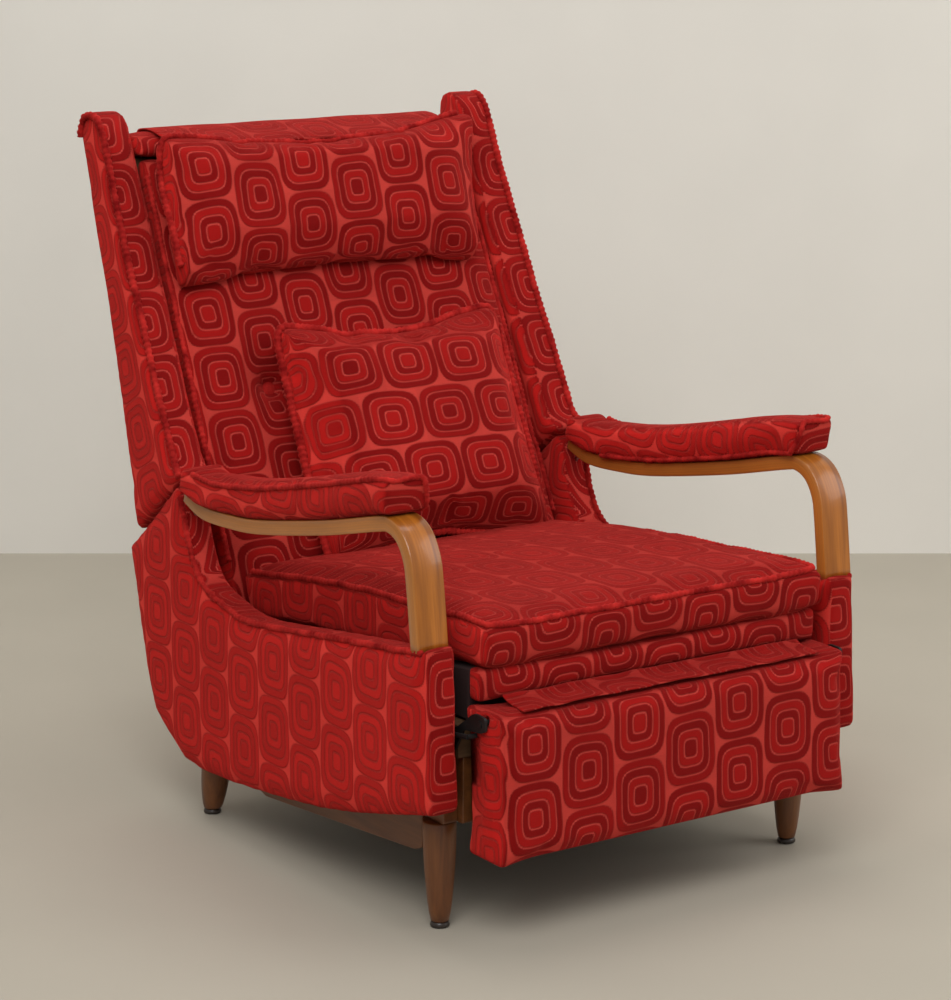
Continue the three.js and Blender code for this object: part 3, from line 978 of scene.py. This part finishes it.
def surface_tree(piece: bpy.types.Object) -> BVHTree:
    """A search tree of a piece's faces.

    Args:
        piece: the piece to change.

    Returns:
        The tree.
    """
    mesh = piece.data
    faces = [tuple(face.vertices) for face in mesh.polygons]
    return BVHTree.FromPolygons([vertex.co for vertex in mesh.vertices], faces)


def smooth_line(points: Sequence[Vector], step: float, closed: bool = False) -> list[Vector]:
    """Even points along a smooth curve through the given ones.

    Args:
        points: the points, in order.
        step: the distance between points.
        closed: whether the line joins its own start.

    Returns:
        The points.
    """
    count = len(points)
    spans = count if closed else count - 1
    raw: list[Vector] = []
    for i in range(spans):
        if closed:
            a, b, c, d = (points[(i + k - 1) % count] for k in range(4))
        else:
            a, b, c, d = (points[min(max(i + k - 1, 0), count - 1)] for k in range(4))
        pieces = max(2, int((c - b).length / (step * 0.5)))
        for k in range(pieces):
            t = k / pieces
            raw.append(0.5 * ((2 * b) + (c - a) * t + (2 * a - 5 * b + 4 * c - d) * t * t
                              + (3 * b - a - 3 * c + d) * t * t * t))
    raw.append(points[0].copy() if closed else points[-1].copy())
    even, run = [raw[0]], 0.0
    for before, here in zip(raw, raw[1:]):
        run += (here - before).length
        if run >= step:
            even.append(here)
            run = 0.0
    if closed and (even[-1] - even[0]).length < step * 0.7:
        even.pop()
    return even


def calm_line(points: list[Vector], closed: bool) -> list[Vector]:
    """One round of smoothing along a line, with its ends kept.

    Args:
        points: the points, in order.
        closed: whether the line joins its own start.

    Returns:
        The points.
    """
    count = len(points)
    out = []
    for i, point in enumerate(points):
        if not closed and i in (0, count - 1):
            out.append(point)
            continue
        out.append(point * 0.5 + (points[i - 1] + points[(i + 1) % count]) * 0.25)
    return out


# ------------------------------------------------------------------ upholstery


@dataclass
class Pad:
    """One padded piece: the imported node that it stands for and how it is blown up."""

    node: str
    body: str
    cloth: ClothFrame
    voxel: float = 0.006
    shrink: float = 0.004
    cap: float = 0.008
    pressure: float = 4.0
    calm: int = 4
    divide: bool = False
    fill: float = 0.8
    grow: float = 0.002

    def build(self, bench: Bench, name: str, rule: Optional[Callable[[Vector], Vector]] = None) -> bpy.types.Object:
        """Make the piece.

        Args:
            bench: the bench that it is made on.
            name: the piece's name.
            rule: a last change of shape, such as a dimple.

        Returns:
            The finished piece, dressed.
        """
        piece = bench.copy_of(self.node, name, self.shrink)
        bench.remesh(piece, self.voxel)
        bench.inflate(piece, self.pressure, self.cap)
        bench.soften(piece, self.calm, self.divide)
        bench.fit(piece, self.node, self.grow)
        if rule:
            bench.shape(piece, rule)
        bench.lay_cloth(piece, self.cloth)
        bench.dress(piece, Finish.VELVET, self.body, [self.node])
        return piece

    def build_pair(self, bench: Bench, stem: str) -> tuple[bpy.types.Object, bpy.types.Object]:
        """Make the left piece and its mirror image on the right.

        Args:
            bench: the bench that it is made on.
            stem: the pieces' names, without the side.
        """
        left = self.build(bench, f"{stem}_left")
        right = bench.mirrored(left, f"{stem}_right")
        bench.dress(right, Finish.VELVET, self.body, [self.node.replace("_left", "_right")])
        return left, right


@dataclass(frozen=True)
class Flap:
    """A cloth flap: half its width, its route from front to back or back to front, and how fine it is."""

    half: float
    route: tuple
    step: float
    across: int
    thick: float
    pattern: tuple[float, float]

    def line(self) -> list[Vector]:
        """The flap's route as even points."""
        return smooth_line([Vector((0.0, y, z)) for y, z in self.route], self.step)

    def flat(self) -> tuple[float, float]:
        """The flap's width and length when it lies flat."""
        line = self.line()
        return 2 * self.half, sum((after - before).length for before, after in zip(line, line[1:]))


@dataclass
class SidePanels:
    """The boat-shaped side panels, piped along their outer top edge."""

    pad: Pad = field(default_factory=lambda: Pad(
        "side_panel_left", "base", ClothFrame(Vector((-1.0, 0.0, 0.0)), UP, (0.02, 0.03)), 0.0055, 0.002, 0.007,
        grow=0.003))
    outer: float = 0.366
    seam: tuple = ((-0.438, 0.404), (-0.345, 0.393), (-0.199, 0.375), (-0.080, 0.359), (0.019, 0.349),
                   (0.092, 0.359), (0.139, 0.373), (0.166, 0.401), (0.184, 0.435), (0.192, 0.462), (0.206, 0.490))

    def build(self, bench: Bench) -> None:
        """Make both panels and their piping."""
        pieces = self.pad.build_pair(bench, "side_cover")
        for (name, side), piece in zip(SIDES, pieces):
            route = [Vector((side * self.outer, y, z)) for y, z in self.seam]
            bench.piping(f"side_piping_{name}", route, [piece], "base", 0.0042)


@dataclass
class Arms:
    """The laminated arms, which bend down into posts, and the pads on top of them."""

    pad: Pad = field(default_factory=lambda: Pad(
        "arm_pad_left", "base", ClothFrame(Vector((-1.0, 0.0, 0.0)), UP, (0.0, 0.05), True), 0.005, 0.004, 0.009,
        calm=3, divide=True))
    line: tuple = ((0.186, 0.493), (0.136, 0.478), (0.060, 0.479), (-0.030, 0.488), (-0.203, 0.521),
                   (-0.335, 0.552), (-0.366, 0.556), (-0.393, 0.544), (-0.411, 0.517), (-0.418, 0.482),
                   (-0.427, 0.407), (-0.428, 0.393))
    inner: float = 0.320
    outer: float = 0.367
    thick: float = 0.021
    rounding: float = 0.0022

    def build(self, bench: Bench) -> None:
        """Make the arms, the pads and the pads' piping."""
        pads = self.pad.build_pair(bench, "arm_cushion")
        for (name, side), pad in zip(SIDES, pads):
            arm = self._arm(bench, f"bentwood_arm_{name}", side)
            bench.dress(arm, Finish.BENTWOOD, "base", [f"bent_arm_{name}"])
            self._piping(bench, name, side, pad)

    def _arm(self, bench: Bench, name: str, side: int) -> bpy.types.Object:
        """Draw a rounded rectangle along the arm's line, with the grain's way kept on each vertex.

        Args:
            bench: the bench that it is made on.
            name: the piece's name.
            side: -1 for the left side, 1 for the right.

        Returns:
            The piece.
        """
        line = smooth_line([Vector((0.0, y, z)) for y, z in self.line], 0.006)
        half_wide, half_thick, r = (self.outer - self.inner) / 2, self.thick / 2, self.rounding
        corners = [(sx * (half_wide - r * a), sz * (half_thick - r * b)) for sx, sz, turns in
                   ((1, 1, ((0, 1), (0.3, 0.3), (1, 0))), (-1, 1, ((1, 0), (0.3, 0.3), (0, 1))),
                    (-1, -1, ((0, 1), (0.3, 0.3), (1, 0))), (1, -1, ((1, 0), (0.3, 0.3), (0, 1))))
                   for a, b in turns]
        middle = side * (self.inner + self.outer) / 2
        solid = bmesh.new()
        grain = solid.verts.layers.float_vector.new("grain")
        rings, run = [], 0.0
        for index, here in enumerate(line):
            before, after = line[max(index - 1, 0)], line[min(index + 1, len(line) - 1)]
            run += (here - before).length
            way = (after - before).normalized()
            above = Vector((0.0, -way.z, way.y))
            ring = []
            for across, deep in corners:
                vertex = solid.verts.new(here + above * deep + Vector((middle + across, 0.0, 0.0)))
                vertex[grain] = Vector((run, across, deep))
                ring.append(vertex)
            rings.append(ring)
        loops = [[solid.edges.new((ring[i], ring[(i + 1) % len(ring)])) for i in range(len(ring))] for ring in rings]
        for one, two in zip(loops, loops[1:]):
            bmesh.ops.bridge_loops(solid, edges=one + two)
        bmesh.ops.contextual_create(solid, geom=loops[0])
        bmesh.ops.contextual_create(solid, geom=loops[-1])
        bmesh.ops.recalc_face_normals(solid, faces=solid.faces)
        mesh = bpy.data.meshes.new(name)
        solid.to_mesh(mesh)
        solid.free()
        return bench.new(name, mesh)

    def _piping(self, bench: Bench, name: str, side: int, pad: bpy.types.Object) -> None:
        """Pipe a pad along its top outer edge, across its front and back under its inner edge.

        Args:
            bench: the bench that it is made on.
            name: the piece's name.
            side: -1 for the left side, 1 for the right.
            pad: the padded piece beneath.
        """
        low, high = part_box(f"arm_pad_{name}")
        out, inn = max(abs(low[0]), abs(high[0])) - 0.004, min(abs(low[0]), abs(high[0])) + 0.004
        top = [(0.150, 0.537), (0.090, 0.531), (0.0, 0.541), (-0.063, 0.552), (-0.207, 0.583), (-0.298, 0.603),
               (-0.362, 0.617)]
        bottom = [(-0.360, 0.571), (-0.300, 0.560), (-0.207, 0.536), (-0.063, 0.507), (0.0, 0.497), (0.090, 0.490)]
        route = [Vector((side * out, y, z)) for y, z in top]
        route += [Vector((side * x, -0.377, 0.616)) for x in (out - 0.008, (out + inn) / 2, inn + 0.008)]
        route += [Vector((side * inn, y, z)) for y, z in bottom]
        bench.piping(f"arm_piping_{name}", route, [pad], "base", 0.0036)


@dataclass
class Seat:
    """The seat cushion and the border below its front."""

    cushion: Pad = field(default_factory=lambda: Pad(
        "seat_cushion", "base", ClothFrame(FRONT, UP, (0.045, 0.02)), 0.008, 0.006, 0.016, divide=True, fill=0.7,
        grow=0.003))
    border: Pad = field(default_factory=lambda: Pad(
        "seat_front_border", "base", ClothFrame(FRONT, UP, (0.02, 0.055)), 0.0045, 0.001, 0.005, calm=2))
    half: float = 0.280
    front: float = -0.468

    def build(self, bench: Bench) -> None:
        """Make the cushion with its top piping, and the border."""
        cushion = self.cushion.build(bench, "seat_pad")
        rise = 0.434
        route = [Vector((-self.half, 0.150, 0.380)), Vector((-self.half, -0.10, 0.415)),
                 Vector((-self.half, -0.38, rise)), Vector((-self.half, -0.445, rise)),
                 Vector((-self.half + 0.02, self.front, rise)), Vector((-0.14, self.front, rise + 0.001)),
                 Vector((0.0, self.front, rise + 0.003)), Vector((0.14, self.front, rise + 0.001)),
                 Vector((self.half - 0.02, self.front, rise)), Vector((self.half, -0.445, rise)),
                 Vector((self.half, -0.38, rise)), Vector((self.half, -0.10, 0.415)),
                 Vector((self.half, 0.150, 0.380))]
        bench.piping("seat_piping", route, [cushion], "base", 0.0042)
        self.border.build(bench, "seat_border")


@dataclass
class Back:
    """The winged back: pad with covered buttons in dimples, wings, top rail and outer cover."""

    pad: Pad = field(default_factory=lambda: Pad(
        "back_pad", "back", ClothFrame(BACK_OUT, BACK_UP, (0.03, 0.05)), 0.0075, 0.005, 0.011, divide=True))
    wing: Pad = field(default_factory=lambda: Pad(
        "wing_left", "back", ClothFrame(Vector((-1.0, 0.0, 0.0)), BACK_UP, (0.0425, 0.02)), 0.0055, 0.003, 0.008))
    rail: Pad = field(default_factory=lambda: Pad(
        "top_rail", "back", ClothFrame(FRONT, UP, (0.03, 0.0)), 0.005, 0.002, 0.004))
    cover: Pad = field(default_factory=lambda: Pad(
        "outer_back", "back", ClothFrame(-FRONT, UP, (0.03, 0.0)), 0.0045, 0.0, 0.003, calm=1))
    dimple_depth: float = 0.028
    dimple_radius: float = 0.040
    places: dict = field(default_factory=dict)

    def build(self, bench: Bench) -> None:
        """Make every upholstered piece of the back."""
        self.places = {side: self._button_place(side) for _, side in SIDES}
        pad = self.pad.build(bench, "inner_back", self._dimple)
        for name, side in SIDES:
            self._button(bench, name, side)
            route = [on_back(side * (0.298 - 0.031 * max(0.0, 0.9 * s - 0.14)), s, -0.004) for s in
                     (0.02, 0.12, 0.25, 0.38, 0.50, 0.62)]
            bench.piping(f"back_piping_{name}", route, [pad], "back", 0.0042)
        wings = self.wing.build_pair(bench, "wing_cover")
        for (name, side), wing in zip(SIDES, wings):
            bench.piping(f"wing_piping_{name}", self._wing_route(side), [wing], "back", 0.0052)
        self.rail.build(bench, "rail_cover")
        self.cover.build(bench, "back_cover")

    @staticmethod
    def _wing_route(side: int) -> list[Vector]:
        """The seam along a wing's outer front edge and over its ear.

        Args:
            side: -1 for the left side, 1 for the right.

        Returns:
            The points.
        """
        edge = [(0.208, 0.517), (0.231, 0.550), (0.272, 0.628), (0.319, 0.722), (0.370, 0.822), (0.416, 0.921),
                (0.449, 0.990), (0.470, 1.014), (0.492, 1.019), (0.512, 1.010), (0.520, 0.985)]
        return [Vector((side * (0.364 - 0.031 * max(0.0, z - 0.510)), y, z)) for y, z in edge]

    def _button_place(self, side: int) -> Vector:
        """The middle of a button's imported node.

        Args:
            side: -1 for the left side, 1 for the right.

        Returns:
            The point.
        """
        low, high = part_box("back_button_left" if side < 0 else "back_button_right")
        return (Vector(low) + Vector(high)) / 2

    def _dimple(self, point: Vector) -> Vector:
        """Draw the pad in round each button.

        Args:
            point: a point of the piece.

        Returns:
            The point.
        """
        for _, side in SIDES:
            off = point - self.places[side]
            off -= BACK_OUT * off.dot(BACK_OUT)
            share = math.exp(-((off.length / self.dimple_radius) ** 1.6))
            point = point - BACK_OUT * self.dimple_depth * share
        return point

    def _button(self, bench: Bench, name: str, side: int) -> None:
        """A domed covered button at the bottom of its dimple.

        Args:
            bench: the bench that it is made on.
            name: the piece's name.
            side: -1 for the left side, 1 for the right.
        """
        dome = bmesh.new()
        bmesh.ops.create_uvsphere(dome, u_segments=32, v_segments=16, radius=0.0135)
        bmesh.ops.scale(dome, vec=(1.0, 1.0, 0.42), verts=dome.verts)
        turn = BACK_OUT.to_track_quat("Z", "Y").to_matrix().to_4x4()
        place = self.places[side] - BACK_OUT * (self.dimple_depth - 0.012)
        bmesh.ops.transform(dome, matrix=Matrix.Translation(place) @ turn, verts=dome.verts)
        mesh = bpy.data.meshes.new(f"covered_button_{name}")
        dome.to_mesh(mesh)
        dome.free()
        button = bench.new(f"covered_button_{name}", mesh)
        bench.dress(button, Finish.PIPING, "back", [f"back_button_{name}"])


@dataclass
class Headrest:
    """The pillow at the top of the back, and the cloth flap that it hangs from."""

    pillow: Pad = field(default_factory=lambda: Pad(
        "headrest_pillow", "headrest", ClothFrame(BACK_OUT, BACK_UP, (0.015, 0.035)), 0.006, 0.010, 0.024,
        divide=True, fill=0.6))
    flap: Flap = Flap(0.255, ((0.398, 0.9745), (0.418, 0.982), (0.447, 0.988), (0.474, 0.9935), (0.500, 0.9945),
                              (0.519, 0.990), (0.525, 0.974)), 0.004, 60, 0.0022, (0.03, 0.02))

    def build(self, bench: Bench) -> None:
        """Make the pillow, its piping and its flap."""
        pillow = self.pillow.build(bench, "head_pillow", self._slump)
        top = [on_back(x, 0.660 + dip, 0.052) for x, dip in
               ((-0.274, -0.012), (-0.20, 0.0), (-0.07, 0.003), (0.07, 0.002), (0.20, 0.003), (0.258, 0.0))]
        left = [on_back(-0.284, s, 0.044) for s in (0.46, 0.53, 0.60)]
        bench.piping("head_piping", left + top, [pillow], "headrest", 0.0050)
        self._flap(bench)

    @staticmethod
    def _slump(point: Vector) -> Vector:
        """Sag the pillow a little between its ends, and crease it.

        Args:
            point: a point of the piece.

        Returns:
            The point.
        """
        sway = noise.noise(point * 7.0) * 0.006 + noise.noise(point * 19.0) * 0.0022
        out = (point - BACK_FOOT).dot(BACK_OUT)
        under = max(0.0, min(1.0, (0.64 - (point - BACK_FOOT).dot(BACK_UP)) / 0.20))
        flatter = 0.20 + 0.20 * under
        end = max(0.0, min(1.0, (point.x - 0.19) / 0.07))
        ear = end * (1.0 - under) ** 2
        return (point + BACK_OUT * (sway - flatter * (out - 0.003)) + BACK_UP * (0.010 + 0.004 * under + 0.010 * ear)
                + Vector((0.020 * ear - 0.012 * end * under - 0.007 - 0.007 * under, 0.0, 0.0)))

    def _flap(self, bench: Bench) -> None:
        """A sheet from the pillow's top seam over the top rail and a little way down behind it."""
        piece = bench.flap("head_flap", self.flap, lambda spot: noise.noise(spot * 14.0) * 0.0012)
        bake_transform(piece)
        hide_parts("headrest_flap")
        self.flap.flat()


@dataclass
class Lumbar:
    """The loose square cushion with thick piping all round its seam."""

    cushion: Pad = field(default_factory=lambda: Pad(
        "lumbar_cushion", "lumbar", ClothFrame(BACK_OUT, BACK_UP, (0.022, 0.02), True), 0.007, 0.012, 0.028,
        divide=True, fill=0.7))
    middle: float = 0.030
    half: float = 0.199

    def build(self, bench: Bench) -> None:
        """Make the cushion and its piping."""
        piece = self.cushion.build(bench, "lumbar_pad", self._pinch)
        low, high, out = -0.008, 0.348, 0.056
        left, right = self.middle + 0.004 - self.half, self.middle + 0.004 + self.half
        r = 0.030
        loop = [on_back(left + r, high, out), on_back(self.middle, high, out), on_back(right - r, high, out),
                on_back(right, high - r, out), on_back(right, 0.18, out), on_back(right, low + r, out),
                on_back(right - r, low, out), on_back(self.middle, low, out), on_back(left + r, low, out),
                on_back(left, low + r, out), on_back(left, 0.18, out), on_back(left, high - r, out)]
        bench.piping("lumbar_piping", loop, [piece], "lumbar", 0.0060, closed=True)

    def _pinch(self, point: Vector) -> Vector:
        """Thin the cushion towards its seam all round, as a knife-edge cushion is.

        Args:
            point: a point of the piece.

        Returns:
            The point.
        """
        off = point - on_back(self.middle, 0.177, 0.056)
        x, s, out = off.x, off.dot(BACK_UP), off.dot(BACK_OUT)
        edge = max(abs(x) / self.half, abs(s) / 0.182)
        thin = 1.0 - 0.42 * max(0.0, min(1.0, (edge - 0.45) / 0.55)) ** 2
        ripple = noise.noise(point * 16.0) * 0.002
        point += BACK_OUT * (out * (thin - 1.0) + ripple)
        return point - BACK_UP * (0.013 + s * 0.03) + Vector((0.004 - x * 0.03, 0.0, 0.0))


@dataclass
class Footrest:
    """The upholstered footrest and the cloth flap that joins it to the seat."""

    pad: Pad = field(default_factory=lambda: Pad(
        "footrest_panel", "footrest", ClothFrame(FRONT, UP, (0.03, 0.035)), 0.005, 0.003, 0.008, calm=3,
        grow=0.003))
    flap: Flap = Flap(0.250, ((-0.459, 0.331), (-0.4665, 0.3268), (-0.482, 0.324), (-0.497, 0.3232),
                              (-0.510, 0.3222)), 0.003, 80, 0.0018, (0.03, 0.31))
    box: tuple = ()
    lip: float = 0.009
    side: float = 0.2975
    let_in: float = 0.013
    drop: float = 0.006
    rear: float = 0.016
    lean: float = 0.03
    edge: float = 0.007
    turned_back: float = 0.0205

    def _plate(self, bench: Bench, name: str, side: int) -> None:
        """The hinge plate, let in under the cloth at the footrest's end.

        Args:
            bench: the bench that it is made on.
            name: the piece's name.
            side: -1 for the left side, 1 for the right.
        """
        plate = bench.copy_of(f"hinge_plate_{name}", f"let_in_plate_{name}", 0.0)
        bench.shape(plate, lambda spot: spot - Vector((side * self.let_in, 0.0, 0.0)))
        # Very dark steel as painted shade, so the plate reads as the shadowed gap.
        bench.dress(plate, Finish.BRACKET, "footrest", [f"hinge_plate_{name}"])
        plate.data.shade_flat()

    def _wrap(self, point: Vector) -> Vector:
        """Draw the cloth back over the edge of the board, all round the pad's rear.

        Args:
            point: a point of the piece.

        Returns:
            The point.
        """
        low, high = self.box
        rim = min(point.x - low.x, high.x - point.x, point.z - low.z, high.z - point.z)
        if point.y > high.y - self.rear - self.lean * (high.z - point.z) and rim < self.edge:
            point.y += self.turned_back
        point.z -= self.drop * (high.z - point.z) / (high.z - low.z)
        return Vector((max(-self.side, min(self.side, point.x)), point.y, point.z))

    def _board(self, bench: Bench) -> None:
        """The board behind the pad, let in between the cloth's turned edges."""
        board = bench.copy_of("footrest_board", "footrest_back", 0.0)
        low, high = (Vector(corner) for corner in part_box("footrest_board"))
        middle, size = (low + high) / 2, high - low
        share = [1.0 - 2 * self.lip / size.x, 1.0, 1.0 - 2 * self.lip / size.z]
        bench.shape(board, lambda spot: Vector(middle[i] + (spot[i] - middle[i]) * share[i] for i in range(3)))
        bench.dress(board, Finish.FRAME_WOOD, "footrest", ["footrest_board"])
        board.data.shade_flat()

    def build(self, bench: Bench) -> None:
        """Make the footrest pad and the flap."""
        self.box = tuple(Vector(corner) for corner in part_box("footrest_panel"))
        self.pad.build(bench, "footrest_cover", self._wrap)
        self._board(bench)
        for name, side in SIDES:
            self._plate(bench, name, side)
        piece = bench.flap("footrest_cloth", self.flap,
                           lambda spot: noise.noise(Vector((spot.x * 30.0, spot.y * 12.0, 0.5))) * 0.002)
        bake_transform(piece)
        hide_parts("footrest_flap")
        self.flap.flat()


@dataclass
class Base:
    """Turned legs on glides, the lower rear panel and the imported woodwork, steel and webbing."""

    rear: Pad = field(default_factory=lambda: Pad(
        "rear_panel", "base", ClothFrame(-FRONT, UP, (0.03, 0.0)), 0.005, 0.001, 0.004, calm=2))
    rake: float = 0.194

    def build(self, bench: Bench, record: dict) -> None:
        """Make the legs and the rear panel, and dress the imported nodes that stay.

        Args:
            bench: the bench that it is made on.
            record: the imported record.
        """
        self.rear.build(bench, "rear_cover")
        for name, side in SIDES:
            for end in ("front", "rear"):
                self._leg(bench, end, name)
                self._glide(bench, end, name)
        hidden = {"velvet", "honey_wood"}
        for part in record["subparts"]:
            node, slot = part["node"], part["material_slot"]
            if slot in hidden or any(word in node for word in ("_leg_", "_glide_", "hinge_plate_", "footrest_board")):
                continue
            bench.nodes[node].data.materials.clear()
            # The footrest mechanism and push rods get very dark steel as painted shade, to read as the shadowed gap.
            in_painted_shade = node.startswith(("footrest_bracket", "hinge_plate", "footrest_pin", "push_rod"))
            finish = Finish.BRACKET if in_painted_shade else CAD_FINISHES[slot]
            bench.nodes[node].data.materials.append(finish.get())

    def _leg(self, bench: Bench, end: str, side: str) -> None:
        """Turn a leg: its profile swells a little between its foot and its top.

        Args:
            bench: the bench that it is made on.
            end: "front" or "rear".
            side: -1 for the left side, 1 for the right.
        """
        node = f"{end}_leg_{side}"
        low, high = (Vector(corner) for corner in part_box(node))
        rake = self.rake if end == "rear" else 0.0
        height = high.z - low.z
        top = (high.x - low.x) / 2
        foot = 0.0125 if end == "front" else 0.0135
        middle_x = (low.x + high.x) / 2
        foot_y = high.y - foot if end == "rear" else (low.y + high.y) / 2
        profile = [(0.0, 0.0), (foot - 0.001, 0.0), (foot, 0.001)]
        profile += [(foot + (top - foot) * math.sin(math.pi / 2 * t) ** 0.75, height * t) for t in
                    (0.1, 0.2, 0.3, 0.4, 0.5, 0.6, 0.7, 0.8, 0.9)]
        profile += [(top, height - 0.0015), (top - 0.0015, height), (0.0, height)]
        piece = bench.turned(f"turned_{node}", profile,
                             lambda spot: spot + Vector((middle_x, foot_y - rake * spot.z, low.z)))
        bench.dress(piece, Finish.LEG_WOOD, "base", [node])

    def _glide(self, bench: Bench, end: str, side: str) -> None:
        """A flared moulded glide under a leg.

        Args:
            bench: the bench that it is made on.
            end: "front" or "rear".
            side: -1 for the left side, 1 for the right.
        """
        node = f"{end}_glide_{side}"
        low, high = (Vector(corner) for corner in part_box(node))
        middle = (low + high) / 2
        profile = [(0.0, 0.0), (0.0115, 0.0), (0.0130, 0.0012), (0.0133, 0.0030), (0.0124, 0.0055), (0.0112, 0.0078),
                   (0.0, 0.0078)]
        piece = bench.turned(f"moulded_{node}", profile, lambda spot: spot + Vector((middle.x, middle.y, 0.0)))
        bench.dress(piece, Finish.GLIDE, "base", [node])


# ------------------------------------------------------------------ studio


@dataclass
class Studio:
    """Pale floor and wall, soft lights and the camera."""

    eye: Point = (-2.339, -3.485, 1.422)
    target: Point = (-0.002, -0.029, 0.481)
    lens: float = 105.35
    wall_distance: float = 5.81

    def build(self) -> None:
        """Make the whole studio."""
        eye, target = Vector(self.eye), Vector(self.target)
        camera = bpy.data.objects.new("camera", bpy.data.cameras.new("camera"))
        bpy.context.scene.collection.objects.link(camera)
        camera.data.lens = self.lens
        camera.data.sensor_width = 36.0
        camera.location = eye
        camera.rotation_euler = (target - eye).to_track_quat("-Z", "Y").to_euler()
        bpy.context.scene.camera = camera
        away = Vector((target.x - eye.x, target.y - eye.y, 0.0)).normalized()
        self._plane("floor", Vector((0.0, 0.0, -0.0005)), Vector((0.0, 0.0, 1.0)), 40.0, (0.415, 0.378, 0.310))
        wall = Vector((eye.x, eye.y, 0.0)) + away * self.wall_distance
        self._plane("wall", wall + UP * 6.9, -away, 14.0, (0.76, 0.735, 0.675))
        world = bpy.data.worlds.new("studio")
        world.use_nodes = True
        world.node_tree.nodes["Background"].inputs["Color"].default_value = (1.0, 0.99, 0.97, 1.0)
        world.node_tree.nodes["Background"].inputs["Strength"].default_value = 0.43
        bpy.context.scene.world = world
        self._light("key", (-1.9, -2.2, 3.1), 2.0, 80.0)
        self._light("fill", (2.6, -2.2, 2.2), 2.4, 42.0)
        self._light("top", (0.2, 0.8, 3.4), 2.6, 50.0)
        bpy.context.scene.view_settings.view_transform = "Standard"

    def _plane(self, name: str, place: Vector, facing: Vector, size: float, colour: Colour) -> None:
        """A large plane of a matt colour.

        Args:
            name: the piece's name.
            place: where it is, in metres.
            facing: the way it faces.
            size: its size, in metres.
            colour: the colour.
        """
        sheet = bmesh.new()
        bmesh.ops.create_grid(sheet, x_segments=1, y_segments=1, size=size / 2)
        turn = facing.to_track_quat("Z", "Y").to_matrix().to_4x4()
        bmesh.ops.transform(sheet, matrix=Matrix.Translation(place) @ turn, verts=sheet.verts)
        mesh = bpy.data.meshes.new(name)
        sheet.to_mesh(mesh)
        sheet.free()
        plane = bpy.data.objects.new(name, mesh)
        bpy.context.scene.collection.objects.link(plane)
        sh = Shader(f"{name}_paint")
        tone = sh.noise(sh.place(), 3.0, 5.0)
        base = sh.blend(tone, tuple(c * 0.94 for c in colour), tuple(min(1.0, c * 1.05) for c in colour))
        mesh.materials.append(sh.finish(Base_Color=base, Roughness=0.7, Specular_IOR_Level=0.25))

    @staticmethod
    def _light(name: str, place: Point, size: float, power: float) -> None:
        """A square soft light that looks at the chair.

        Args:
            name: the piece's name.
            place: where it is, in metres.
            size: its size, in metres.
            power: its power, in watts.
        """
        lamp = bpy.data.lights.new(name, "AREA")
        lamp.size = size
        lamp.energy = power
        holder = bpy.data.objects.new(name, lamp)
        holder.location = place
        holder.rotation_euler = (Vector((0.0, 0.0, 0.45)) - Vector(place)).to_track_quat("-Z", "Y").to_euler()
        bpy.context.scene.collection.objects.link(holder)


def main() -> None:
    """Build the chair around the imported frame."""
    logging.basicConfig(level=logging.INFO, format="%(relativeCreated)d %(message)s")
    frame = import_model()
    Studio().build()
    bench = Bench(frame)
    SidePanels().build(bench)
    Arms().build(bench)
    Seat().build(bench)
    Back().build(bench)
    Headrest().build(bench)
    Lumbar().build(bench)
    Footrest().build(bench)
    Base().build(bench, frame["record"])


if __name__ == "__main__":
    main()
